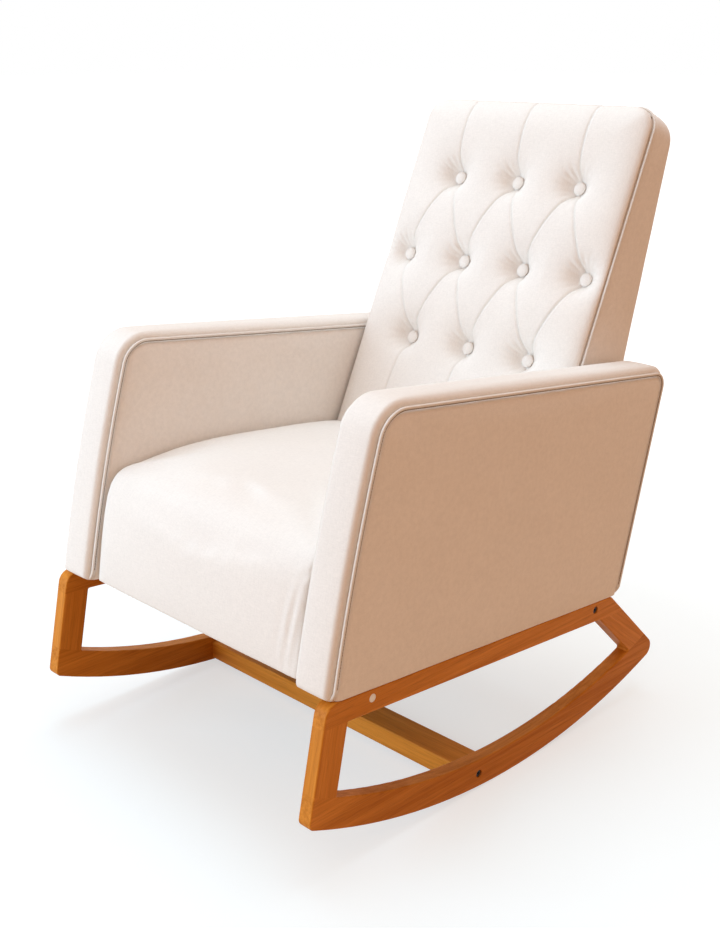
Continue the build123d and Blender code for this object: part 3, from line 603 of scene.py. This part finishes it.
pad_inset, pad_sink, pad_roll = 0.0066, 0.0080, 0.0095
panel_grid, panel_gap = arm_panel(pad_inset, 57, 43)
pad_forms = {
    "arm_outer_pad": {"face": arm_x[1], "out": 1, "thick": 0.009, "swell": 0.0035},
    "arm_inner_pad": {"face": arm_x[0], "out": -1, "thick": 0.018, "swell": 0.0018},
}
for pad_name, form in pad_forms.items():
    pad_face = form["face"] - form["out"] * pad_sink * (1 - rolled(panel_gap, pad_roll))
    outer = at_x(pad_face, panel_grid)
    outer[..., 0] += uneven(outer, most=0.0009) * rolled(panel_gap, 0.06)
    inner = at_x(form["face"] - form["out"] * form["thick"], panel_grid)
    fit_arm_pad(pad_name, outer, inner, form["swell"])

band_steps, band_columns = 221, 31
band_sink, band_height, band_roll, band_bulge, band_depth = 0.0022, 0.0108, 0.0075, 0.0015, 0.0135
front_tuck, front_tuck_length, rear_tuck, rear_tuck_length = 0.0050, 0.009, 0.0015, 0.004
band_edge, _ = arm_edge(0.0, band_steps)
band_out = -square(np.gradient(band_edge, axis=0).T).T
band_out /= np.linalg.norm(band_out, axis=1, keepdims=True)
band_width = arm_x[1] - arm_x[0]
band_x = arm_x[0] + pad_inset + (band_width - 2 * pad_inset) * spaced(band_columns, 0.75)
band_gap = np.minimum(band_x - band_x[0], band_x[-1] - band_x)
band_crown = band_bulge * (1 - ((band_x - sum(arm_x) / 2) / band_width * 2) ** 2)
band_rise = -band_sink + band_height * rolled(band_gap, band_roll) + band_crown
band_step = float(np.linalg.norm(band_edge[1] - band_edge[0]))


def band_grid(rise):
    """Points round the arm's edge at a height above it, drawn in a little at both feet."""
    from_front = np.arange(band_steps)[:, None] * band_step
    front_end = front_tuck * (1 - rolled(from_front, front_tuck_length))
    rear_end = rear_tuck * (1 - rolled(from_front[::-1], rear_tuck_length))
    rise = rise - (front_end + rear_end)
    return at_x(band_x, band_edge[:, None, :] + band_out[:, None, :] * rise[..., None])


fit_arm_pad("arm_band", band_grid(band_rise), band_grid(np.full_like(band_x, -band_depth)), 0.002)


# Welts on the arms: cord wrapped in the same cloth cut on the bias, caught in the seam on both edges
# of the band, its tone a little darker than the cloth's as painted shade. A row of small stitches
# shows at the foot of each welt, beside the pad, in dark brown thread that also paints the seam's shade.
# The bias cloth is a little darker than the cream: painted shade on the cords
cream_bias_painted_shade = cream_cloth("cream_bias_cloth", (0.80, 0.755, 0.705), 0.8)
# Dark brown thread, which also paints the shade of the seam's groove beside each welt
thread_and_painted_seam_shade = mottled("thread_and_painted_seam_shade", (0.30, 0.215, 0.145), 1500.0, 0.8)


def new_tree(name, inputs):
    """An empty Geometry Nodes tree with its sizes as inputs, and the sockets that it starts from."""
    tree = bpy.data.node_groups.new(name, "GeometryNodeTree")
    for socket, kind in {"Geometry": "Geometry", **inputs, "Material": "Material"}.items():
        tree.interface.new_socket(socket, in_out="INPUT", socket_type="NodeSocket" + kind)
    tree.interface.new_socket("Geometry", in_out="OUTPUT", socket_type="NodeSocketGeometry")
    return tree, tree.nodes.new("NodeGroupInput").outputs


def end_tree(tree, start, geometry):
    """Close a tree: real geometry, smooth, in its material."""
    real = add_node(tree, "GeometryNodeRealizeInstances", Geometry=geometry).outputs[0]
    smooth = add_node(tree, "GeometryNodeSetShadeSmooth", Geometry=real).outputs[0]
    finish = add_node(tree, "GeometryNodeSetMaterial", Geometry=smooth, Material=start["Material"])
    end = tree.nodes.new("NodeGroupOutput")
    tree.links.new(finish.outputs[0], end.inputs["Geometry"])
    return tree


def cord_tree():
    """A round cord along a line."""
    tree, start = new_tree("corded_seam", {"Radius": "Float"})
    section = add_node(tree, "GeometryNodeCurvePrimitiveCircle", Resolution=12, Radius=start["Radius"])
    sweep = add_node(tree, "GeometryNodeCurveToMesh", Curve=start["Geometry"], Fill_Caps=True)
    tree.links.new(section.outputs["Curve"], sweep.inputs["Profile Curve"])
    return end_tree(tree, start, sweep.outputs["Mesh"])


def stitch_tree():
    """Short stitches along a line, each a small rounded bar that follows it."""
    tree, start = new_tree("stitch_row", {"Pitch": "Float", "Length": "Float", "Radius": "Float"})
    spread = add_node(tree, "GeometryNodeCurveToPoints", mode="LENGTH", Length=start["Pitch"])
    tree.links.new(start["Geometry"], spread.inputs["Curve"])
    bar = add_node(tree, "GeometryNodeMeshCylinder", Vertices=6, Side_Segments=1)
    tree.links.new(start["Length"], bar.inputs["Depth"])
    tree.links.new(start["Radius"], bar.inputs["Radius"])
    turn = add_node(tree, "FunctionNodeAlignRotationToVector", axis="Z", Vector=spread.outputs["Tangent"])
    place = add_node(tree, "GeometryNodeInstanceOnPoints", Points=spread.outputs["Points"])
    tree.links.new(bar.outputs["Mesh"], place.inputs["Instance"])
    tree.links.new(turn.outputs["Rotation"], place.inputs["Rotation"])
    return end_tree(tree, start, place.outputs["Instances"])


corded_seam, stitch_row = cord_tree(), stitch_tree()


def made_on(guide, name, tree, **sizes):
    """Run a Geometry Nodes tree on a guide, and keep the result as a plain mesh."""
    made = guide.modifiers.new("made", "NODES")
    made.node_group = tree
    for item in tree.interface.items_tree:
        if item.in_out == "INPUT" and item.name in sizes:
            made[item.identifier] = sizes[item.name]
    mesh = bpy.data.meshes.new_from_object(guide.evaluated_get(bpy.context.evaluated_depsgraph_get()))
    mesh.name = name
    bpy.data.objects.remove(guide)
    return new_object(name, mesh)


def along_lines(name, lines, tree, **sizes):
    """Run a Geometry Nodes tree along lines of points."""
    curve = bpy.data.curves.new(name + "_lines", "CURVE")
    curve.dimensions = "3D"
    for line in lines:
        spline = curve.splines.new("POLY")
        spline.points.add(len(line) - 1)
        spline.points.foreach_set("co", np.concatenate([line, np.ones((len(line), 1))], axis=1).ravel())
    return made_on(new_object(name + "_lines", curve), name, tree, **sizes)


welt_radius = 0.0023
welt_line = arm_edge(welt_radius, 480)[0][1:-1]
welt_step = float(np.linalg.norm(welt_line[1] - welt_line[0]))
from_end = np.minimum(np.arange(len(welt_line)), np.arange(len(welt_line))[::-1]) * welt_step
tuck_depth, tuck_length = 0.006, 0.012
tuck = tuck_depth * np.clip(1 - from_end / tuck_length, 0.0, 1.0) ** 1.5
stitch_inset, stitch_sink = 0.0049, 0.0014
stitch_line = arm_edge(stitch_inset, 480)[0][7:-7]
welt_xs = (arm_x[0] + welt_radius + tuck, arm_x[1] - welt_radius - tuck)
stitch_xs = (arm_x[0] + stitch_sink, arm_x[1] - stitch_sink)
for side, sign in (("right_", 1), ("left_", -1)):
    welts = along_lines(
        side + "arm_cords", [at_x(sign * x, welt_line) for x in welt_xs], corded_seam,
        Radius=welt_radius, Material=cream_bias_painted_shade,
    )
    fit_piece(welts, "cream_trim", side + "arm_welts")
    # The stitches are real; their dark thread paints the seam's shade beside the welt as well
    stitches = along_lines(
        side + "arm_stitches", [at_x(sign * x, stitch_line) for x in stitch_xs], stitch_row,
        Pitch=0.0042, Length=0.0035, Radius=0.0007, Material=thread_and_painted_seam_shade,
    )
    fit_piece(stitches, "cream_trim")


# Back covering: a boxing strip of cream cloth round both sides and the top, and a plain outside back.
# They are padded thinly and sewn together at the rear edge. The strip starts at the piping in front.
back_foot, back_lean = (0.13889, 0.43013), radians(24.1157)
back_half, back_length, back_corner, top_rise = 0.242, 0.62436, 0.038, 0.0045


def on_back(x, up, out):
    """A place on the back's front plane: across, up it and out of it to the front."""
    return on_plane(back_foot, back_lean, x, up, out)


def on_rear(x, up, out):
    """A place on the outside back: across, up from its foot and out of it to the rear."""
    return on_plane(rear_foot, rear_lean, x, up, -out)


def arch(half, low, high, radius, count):
    """Up one side, over the top and down the other, with rounded corners."""
    corners = [(half, low), (half, high), (-half, high), (-half, low)]
    return evenly(rounded(corners, [radius, radius]), count)


rear_length, strip_low, seam_drop = 0.7860, 0.10, 0.0138
strip_steps, strip_columns = 181, 21
strip_sink, strip_roll, strip_stand, strip_crown, strip_depth = 0.0055, 0.010, 0.0008, 0.0035, 0.010
strip_front = arch(back_half, -strip_low, back_length + top_rise, back_corner, strip_steps)
strip_rear = arch(back_half, rear_length - back_length - strip_low, rear_length, back_corner, strip_steps)
front_line = on_back(strip_front[:, 0], strip_front[:, 1], -seam_drop)
rear_line = on_rear(strip_rear[:, 0], strip_rear[:, 1], -0.001)
strip_share = spaced(strip_columns, 0.75)[None, :, None]
strip = front_line[:, None] * (1 - strip_share) + rear_line[:, None] * strip_share
strip_out = np.cross(np.gradient(strip, axis=1), np.gradient(strip, axis=0))
strip_out /= np.linalg.norm(strip_out, axis=-1, keepdims=True)
strip_width = np.linalg.norm(rear_line - front_line, axis=-1)[:, None, None]
strip_gap = np.minimum(strip_share, 1 - strip_share) * strip_width
strip_rise = strip_sink * (rolled(strip_gap, strip_roll) - 1) + strip_stand
strip_rise = strip_rise + uneven(strip, most=0.0007)[..., None] * rolled(strip_gap, 0.03)
strip_rise = strip_rise + strip_crown * np.clip(strip_out[..., 2:], 0.0, 1.0) * np.sin(pi * strip_share)
boxing, strip_held = shell(
    "back_boxing_cloth", strip + strip_out * strip_rise, strip - strip_out * strip_depth
)
plump(boxing, strip_held, pressure=0.6, most=0.0022)
soften(boxing)
fit_pad(boxing, 0.7, "left_back_side_pad", "right_back_side_pad", "back_top_pad")

outside_rows, outside_columns = 65, 41
outside_inset, outside_foot = 0.003, 0.006
outside_half, outside_top = back_half - outside_inset, rear_length - outside_inset
outside_sink, outside_roll, outside_stand, outside_depth = 0.0035, 0.010, 0.001, 0.0036
outside_x = outside_half * (2 * spaced(outside_columns, 0.7) - 1)[None, :]
outside_w = outside_foot + (outside_top - outside_foot) * spaced(outside_rows, 0.7)[:, None]
corner_x = np.abs(outside_x) - (outside_half - back_corner)
corner_w = outside_w - (outside_top - back_corner)
in_corner = (corner_x > 0) & (corner_w > 0)
pull = np.maximum(corner_x, corner_w) / np.maximum(np.hypot(corner_x, corner_w), 1e-9)
drawn_x = np.sign(outside_x) * (outside_half - back_corner + corner_x * pull)
drawn_w = outside_top - back_corner + corner_w * pull
outside_px = np.where(in_corner, drawn_x, outside_x)
outside_pw = np.where(in_corner, drawn_w, outside_w)
edge_gap = np.minimum(outside_w - outside_foot, outside_top - outside_w)
edge_gap = np.minimum(outside_half - np.abs(outside_x), edge_gap)
outside_out = outside_sink * (rolled(edge_gap, outside_roll) - 1) + outside_stand

# The cloth is turned in at both lower side edges, where the arms stand beside it
turn_half, turn_height, turn_depth, turn_slope = 0.2265, 0.064, 0.008, 0.22
turned_in = (np.abs(outside_px) > turn_half) & (outside_pw < turn_height)
outside_under = np.where(turned_in, -turn_depth - turn_slope * outside_pw, -outside_depth)
outside_back, outside_held = shell(
    "outside_back_cloth",
    on_rear(outside_px, outside_pw, outside_out),
    on_rear(outside_px, outside_pw, outside_under),
)
plump(outside_back, outside_held, pressure=0.5, most=0.003)
soften(outside_back)
fit_pad(outside_back, 0.6, "outside_back")


# Tufted back cushion: a thick pad under one cloth, rolled at its sides and top down to the piping.
# Buttons draw it in through to the webbing, in staggered rows, and the spare cloth is folded into
# pleats from button to button, down from the lowest row and from the top row over the top edge.
button_pitch, row_pitch, first_row, row_counts = 0.132, 0.151, 0.185, (3, 4, 3)
button_rows = [
    [((k - (count - 1) / 2) * button_pitch, first_row + row * row_pitch) for k in range(count)]
    for row, count in enumerate(row_counts)
]
buttons = [place for row in button_rows for place in row]
pleats = [
    (low, high)
    for below, above in zip(button_rows, button_rows[1:])
    for low in below
    for high in above
    if abs(low[0] - high[0]) < button_pitch
]
pleats += [((place[0], -0.10), place) for place in button_rows[0]]
pleats += [(place, (place[0], back_length + 0.05)) for place in button_rows[-1]]

coarse_columns, coarse_rows = 67, 91
seam_z, face_z, button_floor, pad_rear, face_foot = -0.0090, 0.0180, -0.0170, -0.0355, -0.055
roll_out = [
    (-0.0045, 0.0), (-0.0010, 0.15), (-0.0008, 0.30), (-0.0045, 0.47), (-0.0115, 0.63),
    (-0.0215, 0.77), (-0.0350, 0.885), (-0.0530, 0.96), (-0.0800, 0.995), (-0.1150, 1.0),
]
side_line = [(back_half + out, share) for out, share in roll_out]
side_line = np.array([(-x, share) for x, share in side_line] + side_line[::-1])
top_line = [(back_length + top_rise + out, share) for out, share in roll_out][::-1]
top_line = np.array([(face_foot, 1.0), (face_foot + 0.2, 1.0), (face_foot + 0.4, 1.0)] + top_line)
pad_scale = np.array([1.0, face_z - seam_z])
across = smooth_line(side_line * pad_scale, coarse_columns) / pad_scale
upward = smooth_line(top_line * pad_scale, coarse_rows) / pad_scale
pad_x, pad_y = np.meshgrid(across[:, 0], upward[:, 0])
pad_height = 1 - ((1 - across[None, :, 1]) ** 4 + (1 - upward[:, None, 1]) ** 4) ** 0.25
pad_height = np.clip(pad_height, 0.0, 1.0)
beyond_x = np.abs(pad_x) - (back_half - 0.001 - back_corner)
beyond_y = pad_y - (upward[:, 0].max() - back_corner)
in_corner = (beyond_x > 0) & (beyond_y > 0)
turn_x = np.clip(beyond_x / back_corner, 0.0, 1.0)
turn_y = np.clip(beyond_y / back_corner, 0.0, 1.0)
drawn_x = beyond_x * np.sqrt(1 - turn_y**2 / 2)
drawn_y = beyond_y * np.sqrt(1 - turn_x**2 / 2)
pad_x = np.where(in_corner, np.sign(pad_x) * (np.abs(pad_x) - beyond_x + drawn_x), pad_x)
pad_y = np.where(in_corner, pad_y - beyond_y + drawn_y, pad_y)
button_flat, button_hold, tuft_reach, tuft_fall = 0.010, 0.0125, 0.0165, 1.85


def tuft_dip(x, y):
    """How far the buttons draw the cloth in: flat under a button, steep beside it, then soft."""
    dip = np.zeros_like(x)
    for bx, by in buttons:
        beside = np.maximum(np.hypot(x - bx, y - by) - button_flat, 0.0)
        dip = np.maximum(dip, 1.0 / (1.0 + (beside / tuft_reach) ** tuft_fall))
    return dip


pad_z = seam_z + (face_z - seam_z) * pad_height
pad_z = pad_z - (face_z - button_floor) * tuft_dip(pad_x, pad_y) * pad_height
coarse_front = on_back(pad_x, pad_y, pad_z)
coarse_rear = on_back(pad_x * 0.985, pad_y - 0.004, np.full_like(pad_x, pad_rear))
coarse_pad, coarse_held = shell("tuft_form", coarse_front, coarse_rear)
from_button = np.min([np.hypot(pad_x - bx, pad_y - by) for bx, by in buttons], axis=0)
coarse_held += np.flatnonzero(from_button < button_hold).tolist()
plump(coarse_pad, coarse_held, pressure=1.6, most=0.005)
fine_front = coordinates(coarse_pad.data)[: pad_x.size].reshape(coarse_rows, coarse_columns, 3)
bpy.data.objects.remove(coarse_pad)

# The cloth gets four times as many points each way, for its sharp folds
for _ in range(2):
    fine_front = curve_through(fine_front, 4).swapaxes(0, 1)


def on_face(points):
    """Places across and up the back of points of the chair."""
    up = (points[..., 1] - back_foot[0]) * sin(back_lean) + (points[..., 2] - back_foot[1]) * cos(back_lean)
    return points[..., 0], up


# Rows of points are moved along the cloth so that one lies on every pleat
for (x0, y0), (x1, y1) in pleats:
    fine_x, fine_y = on_face(fine_front)
    share = (fine_y - y0) / (y1 - y0)
    off = fine_x - x0 - share * (x1 - x0)
    within = (share > 0) & (share < 1)
    hits = (off[:, :-1] <= 0) & (off[:, 1:] > 0) & within[:, :-1]
    for row, column in zip(*np.nonzero(hits)):
        before, after = fine_front[row, column].copy(), fine_front[row, column + 1].copy()
        part = -off[row, column] / (off[row, column + 1] - off[row, column])
        nearest = column if part < 0.5 else column + 1
        fine_front[row, nearest] = before + part * (after - before)


def bump_at(off, width):
    """A smooth bump, 1 at its middle and gone a few widths away."""
    return np.exp(-((off / width) ** 2))


# Each pleat is a sharp fold in a soft hollow, with a low lip on one side
pleat_start, pleat_ease = 0.008, 0.006
fold_depth, fold_width, hollow_depth, hollow_width = 0.0036, 0.0014, 0.0014, 0.008
lip_height, lip_place, lip_width = 0.0007, 0.0045, 0.0028
fine_x, fine_y = on_face(fine_front)
crease_depth, lift = np.zeros_like(fine_x), np.zeros_like(fine_x)
for (x0, y0), (x1, y1) in pleats:
    length = np.hypot(x1 - x0, y1 - y0)
    way = ((x1 - x0) / length, (y1 - y0) / length)
    along = (fine_x - x0) * way[0] + (fine_y - y0) * way[1]
    off = (fine_x - x0) * way[1] - (fine_y - y0) * way[0]
    from_end = np.minimum(along, length - along) - pleat_start
    within = np.clip(from_end / pleat_ease, 0, 1)
    fold = fold_depth * bump_at(off, fold_width) + hollow_depth * bump_at(off, hollow_width)
    crease_depth = np.maximum(crease_depth, within * fold)
    lift = np.maximum(lift, within * lip_height * bump_at(off - lip_place, lip_width))

# Small puckers fan out round every button, most of them up and to one side
pucker_depth, pucker_ring, pucker_width = 0.0014, 0.026, 0.012
pucker = np.zeros_like(fine_x)
for k, (bx, by) in enumerate(buttons):
    ring = bump_at(np.hypot(fine_x - bx, fine_y - by) - pucker_ring, pucker_width)
    angle = np.arctan2(fine_y - by, fine_x - bx)
    fan = 0.25 + 0.75 * bump_at(angle - radians(125 + 14 * (k % 3)), 0.75)
    pucker += pucker_depth * ring * fan * np.cos(angle * (15 + k % 4) + k)
edge_fade = np.clip((back_half - 0.002 - np.abs(fine_x)) / 0.012, 0.0, 1.0)
out_way = np.array([0.0, -cos(back_lean), sin(back_lean)])
fine_front = fine_front + (edge_fade * (pucker - crease_depth + lift))[..., None] * out_way

fine_rows, fine_columns = fine_front.shape[:2]
fine_rim = grid_rim(fine_rows, fine_columns)
fine_points = fine_front.reshape(-1, 3)
rear_loop = fine_points[fine_rim]
rear_depth = (rear_loop - on_back(0.0, 0.0, pad_rear)) @ out_way
rear_loop = rear_loop - rear_depth[:, None] * out_way
rear_loop[:, 0] *= 0.95
loop = len(fine_points) + np.arange(len(fine_rim))
pad_faces = grid_faces(fine_rows, fine_columns).tolist()
pad_faces += np.stack([fine_rim, np.roll(fine_rim, -1), np.roll(loop, -1), loop], axis=-1).tolist()
pad_faces.append(loop[::-1].tolist())
tufted = mesh_piece("tufted_cushion", np.concatenate([fine_points, rear_loop]), pad_faces, cream)
fit_pad(tufted, 0.9, "back_cushion")


# Piping round the back: the same bias-wrapped cord as on the arms, sewn between the tufted cushion
# and the boxing strip, up one side, over the top and down the other.
piping_foot, piping_drop, piping_out, piping_over = -0.02, 0.0092, 0.0018, 0.0006
piping_top = back_length + top_rise + piping_over
piping_path = arch(back_half + piping_out, piping_foot, piping_top, back_corner, 260)
piping_line = on_back(piping_path[:, 0], piping_path[:, 1], -piping_drop)
# The piping's cord carries the same painted shade as the welts
piping = along_lines("back_cord", [piping_line], corded_seam, Radius=welt_radius, Material=cream_bias_painted_shade)
fit_piece(piping, "cream_trim", "back_piping")


# Buttons: metal shells covered in the same cloth, domed, each drawn down into its tuft by twine.
# The cloth is gathered under the rim, and a short shank goes into the cushion.
button_cloth = cream_cloth("button_cloth", cream_tone)
button_radius, button_top, button_turns = 0.0112, -0.0090, 28
dome = [
    (0.0002, 0.0), (0.0045, -0.0005), (0.0085, -0.0020),
    (button_radius, -0.0045), (0.0105, -0.0066), (0.0070, -0.0074),
]
shank = [(0.0020, button_top - 0.0076), (0.0020, -0.0340), (0.0002, -0.0345)]
profile = np.concatenate([smooth_line([(r, button_top + z) for r, z in dome], 15), shank])
turn = np.arange(button_turns) * 2 * pi / button_turns
radius, height = profile[:, None, 0], np.repeat(profile[:, 1:], button_turns, axis=1)
rings = np.stack([radius * np.cos(turn), radius * np.sin(turn), height], axis=-1)
ring_index = np.arange(height.size).reshape(height.shape)
ring_next = np.roll(ring_index, -1, axis=1)
button_faces = np.stack([ring_index[:-1], ring_next[:-1], ring_next[1:], ring_index[1:]], axis=-1)
button_faces = button_faces.reshape(-1, 4).tolist()
button_faces += [ring_index[0].tolist(), ring_index[-1].tolist()[::-1]]
button_form = mesh_piece("button_form", rings.reshape(-1, 3), button_faces, button_cloth)


def button_tree():
    """A button on every point, turned to face one way."""
    tree, start = new_tree("covered_buttons", {"Tilt": "Rotation", "Button": "Object"})
    shape = add_node(tree, "GeometryNodeObjectInfo", Object=start["Button"])
    points = add_node(tree, "GeometryNodeMeshToPoints", Mesh=start["Geometry"])
    place = add_node(tree, "GeometryNodeInstanceOnPoints", Points=points.outputs["Points"])
    tree.links.new(shape.outputs["Geometry"], place.inputs["Instance"])
    tree.links.new(start["Tilt"], place.inputs["Rotation"])
    return end_tree(tree, start, place.outputs["Instances"])


button_mesh = bpy.data.meshes.new("button_places")
button_mesh.from_pydata([on_back(x, y, 0.0).tolist() for x, y in buttons], [], [])
covered_buttons = made_on(
    new_object("button_places", button_mesh), "covered_buttons", button_tree(),
    Tilt=(pi / 2 - back_lean, 0.0, 0.0), Button=button_form, Material=button_cloth,
)
bpy.data.objects.remove(button_form)
fit_piece(covered_buttons, "cream_trim", "back_buttons")


# Dust cover: a sheet of black non-woven cloth stapled under the seat frame, a little slack between
# its edges. It lies flat on the frame all round and hides the springs from below.
cover_low, cover_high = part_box("dust_cover")
cover_rows, cover_columns = 41, 33
cover_front, cover_rear, cover_margin, cover_stand = 0.085, 0.660, 0.001, 0.0006
cover_sag, sag_half_width, sag_half_length = 0.006, 0.20, 0.265
cover_x = np.linspace(cover_low.x + cover_margin, cover_high.x - cover_margin, cover_columns)[None, :]
cover_y = np.linspace(cover_front, cover_rear, cover_rows)[:, None]
from_middle = np.abs(cover_y - (cover_front + cover_rear) / 2)
span_x = np.clip(1.0 - (np.abs(cover_x) / sag_half_width) ** 2, 0.0, 1.0)
span_y = np.clip(1.0 - (from_middle / sag_half_length) ** 2, 0.0, 1.0)
cover_points = on_deck(cover_x, cover_y, cover_stand - cover_sag * span_x * span_y).reshape(-1, 3)
dust_cloth = mottled("dust_cloth", (0.016, 0.016, 0.017), 500.0, 0.95, 0.8)
dust_cover = mesh_piece("dust_sheet", cover_points, grid_faces(cover_rows, cover_columns), dust_cloth)
fit_piece(dust_cover, "dust_cloth", "dust_cover")

staple_edge, staple_drop = 0.011, 0.0002
staple_x, staple_ends = cover_high.x - staple_edge, (cover_front + staple_edge, cover_rear - staple_edge)
staple_lines = [on_deck(np.linspace(-staple_x, staple_x, 40), y, -staple_drop) for y in staple_ends]
staple_lines += [on_deck(x, np.linspace(*staple_ends, 40), -staple_drop) for x in (-staple_x, staple_x)]
staples = along_lines(
    "cover_staples", staple_lines, stitch_row, Pitch=0.038, Length=0.011, Radius=0.0007, Material=zinc_steel
)
fit_piece(staples, "zinc_steel")


# Studio: a pale floor in a warm-walled room, a cool window light from the front left, another from
# above and a faint one from behind. The camera stands where the photograph was taken from.
def background_rays(tree):
    """1 for what the camera sees, straight or by way of gloss or glass."""
    path = tree.nodes.new("ShaderNodeLightPath").outputs
    seen = reckon(tree, "MAXIMUM", path["Is Camera Ray"], path["Is Glossy Ray"])
    return reckon(tree, "MAXIMUM", seen, path["Is Transmission Ray"])


# The floor is white far off, and near the chair it keeps the shadow
floor_material = bpy.data.materials.new("pale_floor")
floor_material.use_nodes = True
floor_tree = floor_material.node_tree
floor_surface = floor_tree.nodes["Principled BSDF"]
floor_surface.inputs["Roughness"].default_value = 0.9
floor_surface.inputs["Specular IOR Level"].default_value = 0.1
floor_seen = background_rays(floor_tree)
floor_colour = tint(floor_tree, (0.62, 0.46, 0.32, 1.0), (0.80, 0.93, 0.98, 1.0), floor_seen)
floor_place = floor_tree.nodes.new("ShaderNodeTexCoord").outputs["Object"]
floor_reach = add_node(floor_tree, "ShaderNodeVectorMath", operation="LENGTH", Vector=floor_place)
floor_fade = ranged(floor_tree, floor_reach.outputs["Value"], 0.7, 2.2, 0.45, 1.0)
floor_white = reckon(floor_tree, "MULTIPLY", floor_fade, floor_seen)
floor_glow = add_node(floor_tree, "ShaderNodeEmission", Strength=1.25)
floor_mix = add_node(floor_tree, "ShaderNodeMixShader", Fac=floor_white)
floor_links = [
    (floor_colour, floor_surface.inputs["Base Color"]),
    (floor_surface.outputs["BSDF"], floor_mix.inputs[1]),
    (floor_glow.outputs["Emission"], floor_mix.inputs[2]),
    (floor_mix.outputs["Shader"], floor_tree.nodes["Material Output"].inputs["Surface"]),
]
for output, socket in floor_links:
    floor_tree.links.new(output, socket)
floor_half = 40.0
floor_corners = [(x * floor_half, y * floor_half, 0.0) for x, y in ((-1, -1), (1, -1), (1, 1), (-1, 1))]
mesh_piece("floor", floor_corners, [(0, 1, 2, 3)], floor_material)


def soft_light(name, place, size, power, colour):
    """A square softbox that faces the chair."""
    light = bpy.data.lights.new(name, "AREA")
    light.size, light.energy, light.color = size, power, colour
    lamp = new_object(name, light)
    lamp.location = place
    lamp.rotation_euler = (Vector((0, 0, 0.5)) - Vector(place)).to_track_quat("-Z", "Y").to_euler()


soft_light("window", (-1.5, -3.2, 1.0), 2.8, 130.0, (0.528, 0.795, 1.0))
soft_light("skylight", (-0.3, 0.4, 3.6), 2.5, 74.0, (0.593, 0.839, 1.0))
soft_light("rear_window", (-0.8, 3.4, 1.5), 2.4, 20.0, (0.76, 0.91, 1.0))

world = bpy.data.worlds.new("warm_room")
world.use_nodes = True
scene.world = world
room = world.node_tree
room_colour = tint(room, (0.667, 0.402, 0.254, 1.0), (1.0, 1.0, 1.0, 1.0), background_rays(room))
room.links.new(room_colour, room.nodes["Background"].inputs["Color"])

camera_data = bpy.data.cameras.new("camera")
camera_data.lens, camera_data.sensor_width = 49.36, 36.0
camera = new_object("camera", camera_data)
camera.location = (1.4177, -1.4472, 1.1023)
camera.rotation_euler = (radians(71.69), 0.0, radians(45.21))
scene.camera = camera
